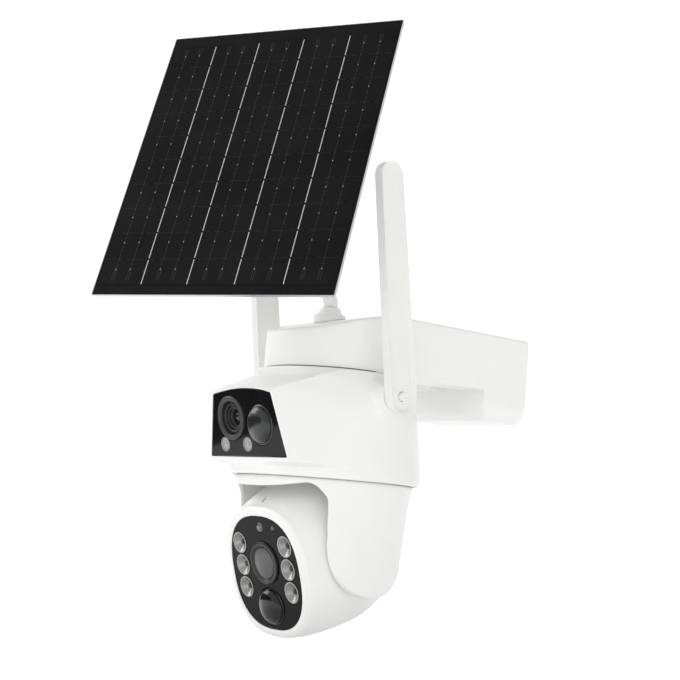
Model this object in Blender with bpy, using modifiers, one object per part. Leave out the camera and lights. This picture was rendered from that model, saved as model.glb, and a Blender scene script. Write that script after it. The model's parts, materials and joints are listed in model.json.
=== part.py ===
"""Solar-powered pan-and-tilt security camera with a fixed wide camera, two
paddle antennas, a wall arm that holds the batteries and a solar panel on an
adjustable bracket.

Units: the sizes below are millimetres, and MM turns them into metres.  They
are written in the camera's own frame: the pan axis is X = 0, Y = 0, the lower
rim of the drum is Z = 0, the front looks along -Y and the wall is at +Y.
at() moves them to the model frame, whose origin is the middle of the wall
face.
"""
import math

import bmesh
import bpy
from mathutils import Matrix, Vector

MM = 0.001
WALL_Y = 143.0            # pan axis to wall
WALL_Z = 85.0             # drum rim to middle of the wall face
GAP = 0.3                 # gap between touching pieces

# wall arm
ARM_HALF = 47.0
ARM_BOTTOM = 72.9
ARM_TOP = 113.0
FOOT_FRONT = 101.0        # the arm's foot hangs down behind this
FOOT_BOTTOM = 51.5
WALL = 2.5

# drum: radius at each height
DRUM = [(0.0, 64.2), (1.3, 65.0), (9.0, 64.8), (15.0, 64.3), (25.0, 63.0),
        (46.0, 60.0), (52.5, 58.2), (60.0, 56.0), (66.0, 54.1), (72.2, 51.8)]
DRUM_TOP = 72.2
# upper window: lower corners, upper corners, lean and crown
WIN_Y, WIN_Z = -64.2, 10.5
WIN_LOW, WIN_HIGH, WIN_H = 42.9, 32.7, 42.0
WIN_LEAN = 13.9
WIN_CROWN = 3.2

# yoke and tilt head
YOKE_TOP_R, YOKE_LOW_R = 60.6, 56.4
TILT_Y, TILT_Z = 2.0, -40.0
TILT_REST = 17.2          # the head looks down by this at rest
ARC_R = 34.0
CHANNEL = 48.1
FACE_S = 49.5             # face plane in front of the tilt axis
FACE_C, FACE_HW, FACE_HH = -9.7, 37.5, 38.0

# antennas
ANT_X, ANT_Y, ANT_Z = 72.0, 0.5, 56.0
ANT_LEAN = 9.4
ANT_LEN = 152.8

# solar panel
JOINT_Y, JOINT_Z = -67.5, 194.0
PANEL_YAW, PANEL_LEAN = 26.0, 20.0
PANEL_W, PANEL_H = 174.8, 209.1
PANEL_OUT = 30.0          # tilt axis to the glass
PANEL_T = 2.6


def at(x, y, z):
    return Vector((x, y - WALL_Y, z - WALL_Z)) * MM


# ---------------------------------------------------------------- scene setup
for old in list(bpy.data.objects):
    bpy.data.objects.remove(old, do_unlink=True)

PARTS = bpy.data.collections.new("solar_security_camera")
CUTTERS = bpy.data.collections.new("cutters")
bpy.context.scene.collection.children.link(PARTS)
bpy.context.scene.collection.children.link(CUTTERS)
CUTTERS.hide_render = True


def material(name, color, rough, metal=0.0, alpha=1.0):
    m = bpy.data.materials.new(name)
    m.use_nodes = True
    p = m.node_tree.nodes["Principled BSDF"]
    p.inputs["Base Color"].default_value = (*color, 1.0)
    p.inputs["Roughness"].default_value = rough
    p.inputs["Metallic"].default_value = metal
    p.inputs["Alpha"].default_value = alpha
    m.diffuse_color = (*color, 1.0)
    return m


WHITE = (0.84, 0.84, 0.82)
BLACK = (0.012, 0.012, 0.014)


def empty(name, location, rotation=(0, 0, 0), parent=None):
    e = bpy.data.objects.new(name, None)
    e.empty_display_size = 0.02
    e.location = location
    e.rotation_euler = [math.radians(a) for a in rotation]
    e.parent = parent
    PARTS.objects.link(e)
    return e


def place(ob, loc=(0, 0, 0), rot=(0, 0, 0), parent=None):
    ob.location = Vector(loc)
    ob.rotation_euler = [math.radians(a) for a in rot]
    if parent is not None:
        ob.parent = parent
    return ob


def add(name, mesh, color=WHITE, rough=0.35, metal=0.0, cutter=False):
    ob = bpy.data.objects.new(name, mesh)
    if cutter:
        CUTTERS.objects.link(ob)
        ob.display_type = "WIRE"
        ob.hide_render = True
    else:
        PARTS.objects.link(ob)
        mesh.materials.append(material(name, color, rough, metal))
    return ob


def smooth(ob, angle=35.0):
    ob.data.shade_smooth()
    ob.data.set_sharp_from_angle(angle=math.radians(angle))
    return ob


# -------------------------------------------------------------- basic shapes
def box(name, sx, sy, sz, **kw):
    bm = bmesh.new()
    bmesh.ops.create_cube(bm, size=1.0)
    bmesh.ops.scale(bm, vec=(sx * MM, sy * MM, sz * MM), verts=bm.verts)
    me = bpy.data.meshes.new(name)
    bm.to_mesh(me)
    bm.free()
    return add(name, me, **kw)


def rod(name, r1, r2, depth, segs=32, **kw):
    """A cylinder or cone along its own Z, centred on its origin."""
    bm = bmesh.new()
    bmesh.ops.create_cone(bm, cap_ends=True, segments=segs, radius1=r1 * MM,
                          radius2=r2 * MM, depth=depth * MM)
    me = bpy.data.meshes.new(name)
    bm.to_mesh(me)
    bm.free()
    return smooth(add(name, me, **kw))


def turned(name, profile, segs=32, closed=False, **kw):
    """A profile of (radius, height) turned about Z.  It runs down the outer
    side; a closed profile comes back up the bore."""
    me = bpy.data.meshes.new(name)
    pts = [(r * MM, 0.0, z * MM) for r, z in profile]
    n = len(pts)
    edges = [(i, i + 1) for i in range(n - 1)]
    if closed:
        edges.append((n - 1, 0))
    me.from_pydata(pts, edges, [])
    ob = add(name, me, **kw)
    s = ob.modifiers.new("Screw", "SCREW")
    s.axis = "Z"
    s.angle = math.tau
    s.steps = s.render_steps = segs
    s.use_merge_vertices = True
    s.merge_threshold = 0.00001
    s.use_smooth_shade = True
    return ob


def plate(name, outline, thick, holes=(), **kw):
    """A flat outline in XY, extruded equally to both sides of its own XY."""
    cu = bpy.data.curves.new(name, "CURVE")
    cu.dimensions = "2D"
    cu.fill_mode = "BOTH"
    cu.extrude = thick * MM / 2
    for loop in [outline, *holes]:
        sp = cu.splines.new("POLY")
        sp.points.add(len(loop) - 1)
        for p, (x, y) in zip(sp.points, loop):
            p.co = (x * MM, y * MM, 0.0, 1.0)
        sp.use_cyclic_u = True
    tmp = bpy.data.objects.new(name + "_outline", cu)
    bpy.context.scene.collection.objects.link(tmp)
    bpy.context.view_layer.update()
    me = bpy.data.meshes.new_from_object(
        tmp.evaluated_get(bpy.context.evaluated_depsgraph_get()))
    bpy.data.objects.remove(tmp, do_unlink=True)
    bm = bmesh.new()
    bm.from_mesh(me)
    bmesh.ops.remove_doubles(bm, verts=bm.verts, dist=0.000005)
    bmesh.ops.recalc_face_normals(bm, faces=bm.faces)
    bm.to_mesh(me)
    bm.free()
    me.name = name
    return add(name, me, **kw)


def tube(name, points, radius, resolution=2, **kw):
    """A round bar along a smooth line of points."""
    cu = bpy.data.curves.new(name, "CURVE")
    cu.dimensions = "3D"
    cu.bevel_depth = radius * MM
    cu.bevel_resolution = resolution
    cu.use_fill_caps = True
    sp = cu.splines.new("POLY")
    sp.points.add(len(points) - 1)
    for p, q in zip(sp.points, points):
        p.co = (*[c for c in q], 1.0)
    ob = bpy.data.objects.new(name, cu)
    PARTS.objects.link(ob)
    cu.materials.append(material(name, kw.get("color", WHITE), 0.35))
    return ob


def loft(name, sections, cap_first=True, cap_last=True, **kw):
    """Skin between sections that each list the same number of points."""
    bm = bmesh.new()
    rows = [[bm.verts.new(Vector(p) * MM) for p in s] for s in sections]
    n = len(rows[0])
    for a, b in zip(rows, rows[1:]):
        for i in range(n):
            j = (i + 1) % n
            bm.faces.new((a[i], a[j], b[j], b[i]))
    if cap_first:
        bm.faces.new(list(reversed(rows[0])))
    if cap_last:
        bm.faces.new(rows[-1])
    bmesh.ops.recalc_face_normals(bm, faces=bm.faces)
    me = bpy.data.meshes.new(name)
    bm.to_mesh(me)
    bm.free()
    return add(name, me, **kw)


def boolean(ob, other, op):
    m = ob.modifiers.new(op.title(), "BOOLEAN")
    m.operation = op
    m.solver = "EXACT"
    m.object = other
    return ob


def cut(ob, other):
    return boolean(ob, other, "DIFFERENCE")


def join(ob, other):
    return boolean(ob, other, "UNION")


def keep(ob, other):
    return boolean(ob, other, "INTERSECT")


def round_edges(ob, width, segments=2, angle=40.0):
    b = ob.modifiers.new("Bevel", "BEVEL")
    b.width = width * MM
    b.segments = segments
    b.limit_method = "ANGLE"
    b.angle_limit = math.radians(angle)
    return ob


# ------------------------------------------------------------------ outlines
def arc(cx, cy, r, a0, a1, n):
    """n + 1 points from angle a0 to a1, degrees."""
    return [(cx + r * math.cos(math.radians(a0 + (a1 - a0) * i / n)),
             cy + r * math.sin(math.radians(a0 + (a1 - a0) * i / n)))
            for i in range(n + 1)]


def rounded_rect(w, h, r, n=5, cx=0.0, cy=0.0):
    pts = []
    for sx, sy, a in ((1, 1, 0), (-1, 1, 90), (-1, -1, 180), (1, -1, 270)):
        pts += arc(cx + sx * (w / 2 - r), cy + sy * (h / 2 - r), r, a, a + 90, n)
    return pts


def superellipse(a, b, p, n, cy=0.0):
    pts = []
    for i in range(n):
        t = math.tau * i / n
        c, s = math.cos(t), math.sin(t)
        pts.append((a * math.copysign(abs(c) ** (2 / p), c),
                    cy + b * math.copysign(abs(s) ** (2 / p), s)))
    return pts


def interp(table, z):
    for (z0, r0), (z1, r1) in zip(table, table[1:]):
        if z <= z1:
            f = max(0.0, (z - z0) / (z1 - z0))
            return r0 + (r1 - r0) * f
    return table[-1][1]


def gear(teeth, module, phase=0.0, thin=0.84):
    """Outline of a gear of trapezoid teeth, thinned for backlash.  Phase is
    the angle of one tooth's centre in degrees."""
    rp = teeth * module / 2
    ro, ri = rp + 0.9 * module, rp - 1.25 * module
    pitch = math.tau / teeth
    half = pitch / 4 * thin
    pts = []
    for i in range(teeth):
        a = i * pitch + math.radians(phase)
        slope = 0.36 * module / rp
        for r, da in ((ri, -half - slope * 1.15), (ro, -half + slope),
                      (ro, half - slope), (ri, half + slope * 1.15)):
            pts.append((r * math.cos(a + da), r * math.sin(a + da)))
    return pts


# ------------------------------------------------------------------ wall arm
def arm_top(y):
    """Height of the arm's top: level at the back, dipping at the nose."""
    table = [(-47.5, 97.4), (-43.7, 98.3), (-35.7, 100.4), (-22.9, 104.4),
             (-12.0, 107.6), (-3.0, 109.8), (8.0, 111.8), (18.0, 112.7),
             (30.0, 113.0), (143.0, 113.0)]
    return interp(table, y)


def arm_side(inset, y_end, lift=0.0):
    """Side outline of the arm in (y, z), inset by a wall thickness."""
    front = -ARM_HALF - 3 + (inset + 3 if inset else 0)
    ys = [front, -43.7, -35.7, -22.9, -12.0, -3.0, 8.0, 18.0, 30.0]
    top = [(y, arm_top(y) - inset + lift) for y in ys if y >= front]
    r = max(10.0 - inset, 1.0)
    foot = [(y_end, ARM_TOP - inset + lift), (y_end, FOOT_BOTTOM + inset)]
    lo = FOOT_BOTTOM + inset
    x0 = FOOT_FRONT + inset
    soft = 7.0 - inset
    foot += [(x0 + soft, lo), (x0 + 0.29 * soft, lo + 0.29 * soft),
             (x0, lo + soft), (x0, ARM_BOTTOM + inset)]
    return top + foot + [(front, ARM_BOTTOM + inset)]


def arm_plan(inset, y_end):
    r = ARM_HALF - inset
    return (arc(0, 0, r, 180, 360, 20) + [(r, y_end), (-r, y_end)])


def upright(ob, x=0.0):
    """Stand a (y, z) plate up so that its thickness runs along X."""
    return place(ob, at(x, 0, 0), (90, 0, 90))


arm = plate("arm_housing", arm_side(0, WALL_Y), 120.0, color=WHITE)
upright(arm)
plan = plate("arm_plan", arm_plan(0, WALL_Y), 120.0, cutter=True)
place(plan, at(0, 0, 90))
keep(arm, plan)
round_foot = plate("arm_foot_round", rounded_rect(94.0, 70.0, 9.0, 4, 0,
                                             FOOT_BOTTOM + 35),
                   60.0, cutter=True)
place(round_foot, at(0, FOOT_FRONT + 21, 0), (90, 0, 0))
join_keep = plate("arm_front_block", [(-60, -60), (60, -60), (60, 99), (-60, 99)],
                  120.0, cutter=True)
place(join_keep, at(0, 0, 90))
join(round_foot, join_keep)
keep(arm, round_foot)
hollow = plate("arm_hollow", arm_side(WALL, WALL_Y + 5), 120.0, cutter=True)
upright(hollow)
hollow_plan = plate("arm_hollow_plan", arm_plan(WALL, WALL_Y + 5), 120.0,
                    cutter=True)
place(hollow_plan, at(0, 0, 90))
keep(hollow, hollow_plan)
hollow_foot = plate("arm_hollow_foot",
                    rounded_rect(89.0, 65.0, 6.5, 4, 0, FOOT_BOTTOM + 35), 60.0,
                    cutter=True)
place(hollow_foot, at(0, FOOT_FRONT + 30, 0), (90, 0, 0))
hollow_front = plate("arm_hollow_front",
                     [(-60, -60), (60, -60), (60, 103), (-60, 103)], 120.0,
                     cutter=True)
place(hollow_front, at(0, 0, 90))
join(hollow_foot, hollow_front)
keep(hollow, hollow_foot)
cut(arm, hollow)
neck_hole = rod("arm_neck_hole", 14, 14, 12, 24, cutter=True)
place(neck_hole, at(0, 0, ARM_BOTTOM + 1))
cut(arm, neck_hole)

# wall plate, let into the back of the arm; its back is the wall face
plate_w = 94.0 - 2 * WALL - 2 * GAP
wall_plate = plate("wall_plate",
                   rounded_rect(plate_w, ARM_TOP - FOOT_BOTTOM - 5.8, 7.0, 4,
                                0, (ARM_TOP + FOOT_BOTTOM) / 2), 4.0,
                   color=(0.7, 0.7, 0.69))
place(wall_plate, at(0, WALL_Y - 2.0, 0), (90, 0, 0))
SCREWS = [(-32, 100), (32, 100), (-32, 71), (32, 71)]
for i, (x, z) in enumerate(SCREWS):
    h = rod("wall_screw_hole_%d" % (i + 1), 2.6, 2.6, 12, 20, cutter=True)
    place(h, at(x, WALL_Y - 2, z), (90, 0, 0))
    cut(wall_plate, h)
for i, (x, z) in enumerate((SCREWS[0], SCREWS[3])):
    s = turned("wall_screw_%d" % (i + 1),
               [(0, 2.6), (2.2, 2.5), (4.2, 1.4), (4.4, 0.0), (2.2, 0.0),
                (2.2, -3.7), (0, -3.7)], 10, color=(0.6, 0.6, 0.62), rough=0.3,
               metal=1.0)
    place(s, at(x, WALL_Y - 4.0 - GAP, z), (90, 0, 0))

seam = turned("seam_gasket", [(46.2, 0.25), (46.2, -0.1), (40.0, -0.1),
                              (40.0, 0.25)], 32, closed=True,
              color=(0.16, 0.16, 0.15), rough=0.7)
place(seam, at(0, 0, DRUM_TOP + 0.3))

# ---------------------------------------------------------------------- drum
LEAN = math.tan(math.radians(WIN_LEAN))
WIN_TOP_Z = WIN_Z + WIN_H * math.cos(math.radians(WIN_LEAN))
RIDGE = [(WIN_TOP_Z, 33.4, -75.2, 0.0), (WIN_TOP_Z + 3.2, 34.4, -71.6, 2.6),
         (58.5, 36.6, -62.5, 3.4), (63.1, 40.0, -50.0, 4.0),
         (66.5, 42.3, -42.0, 6.0), (DRUM_TOP, 45.2, -25.3, 0.0)]


def hood(z, inset):
    """Half width, y and crown of the hood's front edge at a height."""
    if z <= WIN_TOP_Z:
        f = (z - WIN_Z) / (WIN_TOP_Z - WIN_Z)
        return (WIN_LOW + 0.9 + (WIN_HIGH - WIN_LOW) * f,
                WIN_Y - (z - WIN_Z) * LEAN - 0.3, 0.0)
    for (z0, x0, y0, c0), (z1, x1, y1, c1) in zip(RIDGE, RIDGE[1:]):
        if z <= z1:
            f = (z - z0) / (z1 - z0)
            return (x0 + (x1 - x0) * f, y0 + (y1 - y0) * f, c0 + (c1 - c0) * f)
    return RIDGE[-1][1:]


def drum_section(z, inset=0.0, bulge=1.0, at_z=None):
    """Outline of the drum at a height: a circle with the hood drawn out to
    the front and joined to it by tangent lines.  Bulge 0 is the plain
    circle."""
    r = interp(DRUM, z) - inset
    hx, hy, crown = hood(max(z, WIN_Z), inset)
    hx, hy = hx - inset, hy + inset
    n_front, n_side, n_back = (8, 3, 26) if inset == 0 else (6, 3, 20)
    a_plain = math.atan2(hx, -hy)
    d = math.hypot(hx, hy)
    a_tan = a_plain + (math.acos(min(1.0, r / d)) if d > r else 0.0)
    out = []
    for i in range(n_front + 1):
        u = -1 + 2 * i / n_front
        fx, fy = u * hx, hy - crown * (1 - u * u)
        if d <= r + 0.01 or z >= DRUM_TOP - 0.01:
            a = a_plain * u
            fx, fy = r * math.sin(a), -r * math.cos(a)
        a = a_plain * u
        px, py = r * math.sin(a), -r * math.cos(a)
        out.append((px + (fx - px) * bulge, py + (fy - py) * bulge))
    corner = out[-1]
    tx, ty = r * math.sin(a_tan), -r * math.cos(a_tan)
    side = []
    for i in range(1, n_side + 1):
        f = i / n_side
        lx, ly = corner[0] + (tx - corner[0]) * f, corner[1] + (ty - corner[1]) * f
        a = a_plain + (a_tan - a_plain) * f
        px, py = r * math.sin(a), -r * math.cos(a)
        side.append((px + (lx - px) * bulge, py + (ly - py) * bulge))
    out += side
    for i in range(1, n_back):
        a = a_tan + (math.tau - 2 * a_tan) * i / n_back
        out.append((r * math.sin(a), -r * math.cos(a)))
    out += [(-x, y) for x, y in reversed(side)]
    zz = z if at_z is None else at_z
    return [(x, y, zz) for x, y in out]


outer = [drum_section(z, 0.0, b) for z, b in
         ((0.0, 0), (1.3, 0), (5.5, 0.0), (7.6, 0.28), (8.3, 1), (25, 1),
          (46, 1), (WIN_TOP_Z, 1), (WIN_TOP_Z + 3.2, 1), (58.5, 1), (63.1, 1),
          (66.5, 1), (DRUM_TOP, 1))]
drum = loft("drum_housing", outer, color=WHITE)
place(drum, at(0, 0, 0))
for side, tag in ((1, "right"), (-1, "left")):
    boss = turned("antenna_boss_" + tag,
                  [(0, 6.5), (9.8, 6.5), (10.4, 5.4), (12.4, -4.0), (13.4, -9.0),
                   (0, -9.0)],
                  28, cutter=True)
    place(boss, at(side * 60.6, ANT_Y, ANT_Z), (0, 90 * side, 0))
    join(drum, boss)
inner = [drum_section(z, WALL, b, at_z) for z, b, at_z in
         ((0.0, 0, -6.0), (1.3, 0, 3.0), (8.0, 0, 10.9), (9.4, 1, 11.5),
          (25, 1, 25), (46, 1, 45), (WIN_TOP_Z, 1, WIN_TOP_Z - 1.6),
          (58.5, 1, 56.0), (66.5, 1, 64.0), (71.6, 1, 69.4))]
drum_hollow = loft("drum_hollow", inner, cutter=True)
place(drum_hollow, at(0, 0, 0))
cut(drum, drum_hollow)
drum_neck = rod("drum_neck_hole", 14, 14, 12, 24, cutter=True)
place(drum_neck, at(0, 0, DRUM_TOP))
cut(drum, drum_neck)

# everything in the window leans with it: -Y is straight out, Z is up
window = empty("window_plane", at(0, WIN_Y, WIN_Z), (WIN_LEAN, 0, 0))


def window_outline(grow):
    top = [(WIN_HIGH + grow, WIN_H + grow * 0.6)]
    top += [(u * (WIN_HIGH + grow), WIN_H + grow * 0.6 +
             WIN_CROWN * (1 - u * u)) for u in (0.8, 0.6, 0.4, 0.2, 0.0, -0.2,
                                                -0.4, -0.6, -0.8)]
    top += [(-WIN_HIGH - grow, WIN_H + grow * 0.6)]
    return ([(-WIN_LOW - grow, -grow), (WIN_LOW + grow, -grow)] + top)


def circle(cx, cy, r, n=20):
    return arc(cx, cy, r, 0, 360 * (n - 1) / n, n - 1)


WIN_LENS, WIN_PIR = (-14.3, 25.8), (17.0, 21.0)
WIN_LEDS = [(-24.8, 8.2), (0.8, 8.3)]
win_cut = plate("window_opening", window_outline(0.0), 14.0, cutter=True)
place(win_cut, (0, -1.0 * MM, 0), (90, 0, 0), window)
cut(drum, win_cut)
panel = plate("upper_window", window_outline(-0.35), 2.2,
              [circle(*WIN_LENS, 15.0), circle(*WIN_PIR, 13.6),
               circle(*WIN_LEDS[0], 4.4, 12), circle(*WIN_LEDS[1], 4.4, 12)],
              color=BLACK, rough=0.08)
place(panel, (0, 1.0 * MM, 0), (90, 0, 0), window)


def in_plane(ob, parent, u, v, out=0.0):
    """Stand a turned piece on a leaning face, its own Z straight out."""
    return place(ob, (u * MM, -out * MM, v * MM), (90, 0, 0), parent)


bez = turned("wide_lens_bezel",
             [(14.7, 0.8), (14.7, -7.0), (13.2, -7.0), (9.9, -3.2), (9.9, -0.6),
              (13.0, 0.6), (14.0, 1.1)], 20, closed=True,
             color=(0.05, 0.05, 0.052), rough=0.45)
in_plane(bez, window, *WIN_LENS)
barrel = turned("wide_lens_barrel",
                [(9.6, -1.8), (9.6, -3.2), (9.0, -7.0), (9.0, -20.0),
                 (5.2, -20.0), (5.2, -5.6), (8.4, -2.0)], 18, closed=True,
                color=(0.02, 0.02, 0.022), rough=0.35)
in_plane(barrel, window, *WIN_LENS)
glass = turned("wide_lens_glass",
               [(0, -4.6), (2.4, -4.9), (4.9, -6.0), (4.9, -9.0), (0, -9.0)],
               28, color=(0.02, 0.03, 0.05), rough=0.03)
in_plane(glass, window, *WIN_LENS)
pir = turned("upper_pir_lens",
             [(0, 5.2), (5.2, 4.5), (9.4, 2.5), (11.8, -0.2), (13.2, -0.6),
              (13.2, -2.6), (11.0, -1.5), (6.6, 2.6), (0, 3.9)], 18, color=(0.16, 0.17, 0.17), rough=0.25)
in_plane(pir, window, *WIN_PIR)
for i, (u, v) in enumerate(WIN_LEDS):
    led = turned("spot_led_%d" % (i + 1),
                 [(0, -2.6), (1.2, -2.6), (1.2, -2.0), (3.4, -0.4), (4.0, -0.2),
                  (4.0, -4.0), (0, -4.0)], 10, color=(0.7, 0.7, 0.7),
                 rough=0.2, metal=0.8)
    in_plane(led, window, u, v)

base = turned("base_ring", [(60.8, 3.4), (60.8, 0.4), (58.3, 0.4), (58.3, 3.4)],
              44, closed=True, color=(0.78, 0.78, 0.76), rough=0.4)
place(base, at(0, 0, 0))
main_board = plate("main_board", rounded_rect(74, 62, 4, 3, 0, 8), 1.6,
                   color=(0.02, 0.18, 0.07), rough=0.5)
place(main_board, at(0, 0, 52))
speaker = turned("speaker", [(0, 5.0), (9, 5.0), (10.5, 3.5), (14, 1.5),
                             (14, -3.5), (12.5, -3.5), (8, -1.0), (0, -0.4)],
                 28, color=(0.1, 0.1, 0.1), rough=0.5)
place(speaker, at(34, -20, 32), (0, 90, -30))

# --------------------------------------------------- batteries inside the arm
for i, x in enumerate((-11.5, 11.5)):
    cell = turned("battery_cell_%d" % (i + 1),
                  [(0, 33.6), (2.9, 33.6), (2.9, 32.4), (8.6, 32.4), (9.1, 31.8),
                   (9.1, -32.0), (8.6, -32.5), (0, -32.5)], 14,
                  color=(0.05, 0.2, 0.45), rough=0.35)
    place(cell, at(x, 66, 92.5), (90, 0, 0))
holder = box("battery_holder", 50, 74, 22, color=(0.04, 0.04, 0.04), rough=0.5)
place(holder, at(0, 66, 88.6))
for i, x in enumerate((-11.5, 11.5)):
    bay = box("battery_bay_%d" % (i + 1), 19.2, 67.4, 22, cutter=True)
    place(bay, at(x, 65.4, 94.0))
    cut(holder, bay)

# ------------------------------------------------- fittings under the arm
port_cut = plate("port_recess", rounded_rect(26.6, 14.6, 4.3, 4), 12.0,
                 cutter=True)
place(port_cut, at(-14, 76, ARM_BOTTOM))
cut(arm, port_cut)
port = plate("port_cover", rounded_rect(26.0, 14.0, 4.0, 4), 3.0,
             color=(0.75, 0.75, 0.74), rough=0.6)
place(port, at(-14, 76, ARM_BOTTOM + 1.1))
button_cut = rod("button_hole", 4.3, 4.3, 12, 24, cutter=True)
place(button_cut, at(14, 70, ARM_BOTTOM))
cut(arm, button_cut)
button_axis = empty("power_button_axis", at(14, 70, ARM_BOTTOM))
button = turned("power_button", [(0, 3.4), (5.6, 3.4), (5.6, 2.8), (4.0, 2.8),
                                 (4.0, -0.5), (3.6, -0.9), (0, -0.9)], 12,
                color=(0.25, 0.25, 0.26), rough=0.5)
place(button, (0, 0, 0), (0, 0, 0), button_axis)
gland_cut = rod("socket_hole", 5.4, 5.4, 12, 24, cutter=True)
place(gland_cut, at(14, 87, ARM_BOTTOM))
cut(arm, gland_cut)
socket = turned("charge_socket",
                [(0, 4.4), (5.1, 4.4), (5.1, -0.3), (6.4, -0.3), (6.4, -1.4),
                 (3.2, -1.4), (3.2, 3.6), (0, 3.6)], 12,
                color=(0.06, 0.06, 0.06), rough=0.6)
place(socket, at(14, 87, ARM_BOTTOM))

# ---------------------------------------------------------------- pan: yoke
pan = empty("pan_axis", at(0, 0, 0))


def pan_at(x, y, z):
    return Vector((x, y, z)) * MM


yoke = turned("yoke_housing",
              [(0, 15.2), (57.6, 15.2), (57.6, 7.2), (59.9, 7.2), (59.9, 3.8),
               (57.7, 3.8), (57.7, -0.5), (60.2, -0.5), (60.6, -1.0),
               (60.2, -8.0), (59.0, -26.0), (58.0, -42.0), (56.4, -76.0),
               (0, -76.0)], 44, color=WHITE)
place(yoke, (0, 0, 0), (0, 0, 0), pan)
BAND = -7.4
F = 9.0                                    # fillet between band and tongue
half_top = 35.4
side = [(-70, 20), (-70, BAND), (TILT_Y - half_top - F, BAND)]
side += arc(TILT_Y - half_top - F, BAND - F, F, 90, 0, 5)[1:]
side += arc(TILT_Y, TILT_Z - 0.5, ARC_R, 180, 360, 18)
side += arc(TILT_Y + half_top + F, BAND - F, F, 180, 90, 5)
side += [(70, BAND), (70, 20)]
yoke_side = plate("yoke_side_outline", side, 140.0, cutter=True)
place(yoke_side, (0, 0, 0), (90, 0, 90), pan)
keep(yoke, yoke_side)
channel = box("yoke_channel", 2 * CHANNEL, 160, 70, cutter=True)
place(channel, pan_at(0, 0, BAND - 35 + 0.5), (0, 0, 0), pan)
cut(yoke, channel)
R_IN = 57.3
a_in = math.degrees(math.asin(CHANNEL / R_IN))
bay = plate("yoke_bay", arc(0, 0, R_IN, -90 - a_in, -90 + a_in, 12) +
            arc(0, 0, R_IN, 90 - a_in, 90 + a_in, 12), 24.0, cutter=True)
place(bay, pan_at(0, 0, 0.2), (0, 0, 0), pan)
cut(yoke, bay)
for s in (1, -1):
    pocket = rod("tongue_pocket_%s" % ("right" if s > 0 else "left"), 20.5,
                 20.5, 12, 24, cutter=True)
    place(pocket, pan_at(s * (CHANNEL - 3.0), TILT_Y, TILT_Z), (0, 90, 0), pan)
    cut(yoke, pocket)
hub_hole = rod("yoke_cable_hole", 8.5, 8.5, 20, 24, cutter=True)
place(hub_hole, pan_at(0, 0, 14), (0, 0, 0), pan)
cut(yoke, hub_hole)

PAN_TEETH, PINION_TEETH, MOD = 40, 10, 1.5
PAN_CD = (PAN_TEETH + PINION_TEETH) / 2 * MOD + 0.2
ring = plate("pan_ring_gear", gear(PAN_TEETH, MOD, 90.0), 5.0,
             [circle(0, 0, 8.8, 24)], color=(0.85, 0.83, 0.76), rough=0.5)
place(ring, pan_at(0, 0, 18.1), (0, 0, 0), pan)
pinion_axis = empty("pan_pinion_axis", at(0, PAN_CD, 18.1))
pinion = plate("pan_pinion", gear(PINION_TEETH, MOD, 18.0 - 90.0), 4.4,
               color=(0.85, 0.83, 0.76), rough=0.5)
place(pinion, (0, 0, 0), (0, 0, 0), pinion_axis)
shaft = rod("pan_pinion_shaft", 2.2, 2.2, 7.0, 16, cutter=True)
place(shaft, (0, 0, 3.0 * MM), (0, 0, 0), pinion_axis)
join(pinion, shaft)
motor = turned("pan_motor", [(0, 12.0), (13.0, 12.0), (14.0, 11.0),
                             (14.0, -7.0), (4.5, -7.0), (4.5, -8.6),
                             (2.5, -8.6), (2.5, -1.0), (0, -1.0)], 16,
               color=(0.55, 0.55, 0.57), rough=0.35, metal=0.8)
place(motor, at(0, PAN_CD, 30.0))

# trunnions: a cover over the tongue's pocket and a stub into the head
for s, tag in ((1, "right"), (-1, "left")):
    stub = 39.6 if s > 0 else 33.6
    tr = turned("trunnion_" + tag,
                [(0, 50.7), (20.0, 50.7), (20.0, CHANNEL + 0.4), (8.0, CHANNEL + 0.4),
                 (8.0, 41.0), (6.0, 41.0), (6.0, stub), (0, stub)], 18,
                color=(0.8, 0.8, 0.78), rough=0.4)
    place(tr, pan_at(0, TILT_Y, TILT_Z), (0, 90 * s, 0), pan)
TILT_TEETH, TILT_MOD, TILT_GEAR_X = 24, 1.4, 36.5
TILT_CD = (TILT_TEETH + PINION_TEETH) / 2 * TILT_MOD + 0.2
fixed = plate("tilt_fixed_gear", gear(TILT_TEETH, TILT_MOD, TILT_REST), 4.0,
              [circle(0, 0, 6.3, 20)], color=(0.85, 0.83, 0.76), rough=0.5)
place(fixed, pan_at(-TILT_GEAR_X, TILT_Y, TILT_Z), (0, 90, 0), pan)

# --------------------------------------------------------------- tilt: head
tilt = empty("tilt_axis", pan_at(0, TILT_Y, TILT_Z), (TILT_REST, 0, 0), pan)
HEAD = [(49.5, 41.6, 31.4, -51.0, 2.5), (48.9, 42.9, 32.8, -52.3, 2.5),
        (46.5, 44.3, 34.8, -53.8, 2.45), (38.0, 46.2, 39.4, -55.6, 2.4),
        (28.0, 47.1, 43.4, -56.7, 2.35), (14.0, 47.4, 47.0, -57.2, 2.3),
        (0.0, 47.3, 49.0, -56.8, 2.25), (-10.0, 46.6, 48.6, -55.2, 2.2),
        (-20.0, 44.6, 45.6, -52.0, 2.15), (-30.0, 39.6, 39.6, -46.0, 2.1),
        (-38.0, 32.6, 32.0, -37.6, 2.05), (-44.0, 24.4, 23.4, -27.8, 2.0),
        (-48.0, 14.6, 13.8, -16.6, 2.0), (-49.6, 6.0, 5.2, -7.2, 2.0)]


def head_ring(s, a, vt, vb, p, inset=0.0, n=36):
    c, b = (vt + vb) / 2, (vt - vb) / 2
    return [(x, -s, v) for x, v in superellipse(a - inset, b - inset, p, n, c)]


def head_at(s):
    for h0, h1 in zip(HEAD, HEAD[1:]):
        if s >= h1[0]:
            f = (h0[0] - s) / (h0[0] - h1[0])
            return tuple(a + (b - a) * f for a, b in zip(h0, h1))
    return HEAD[-1]


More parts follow.
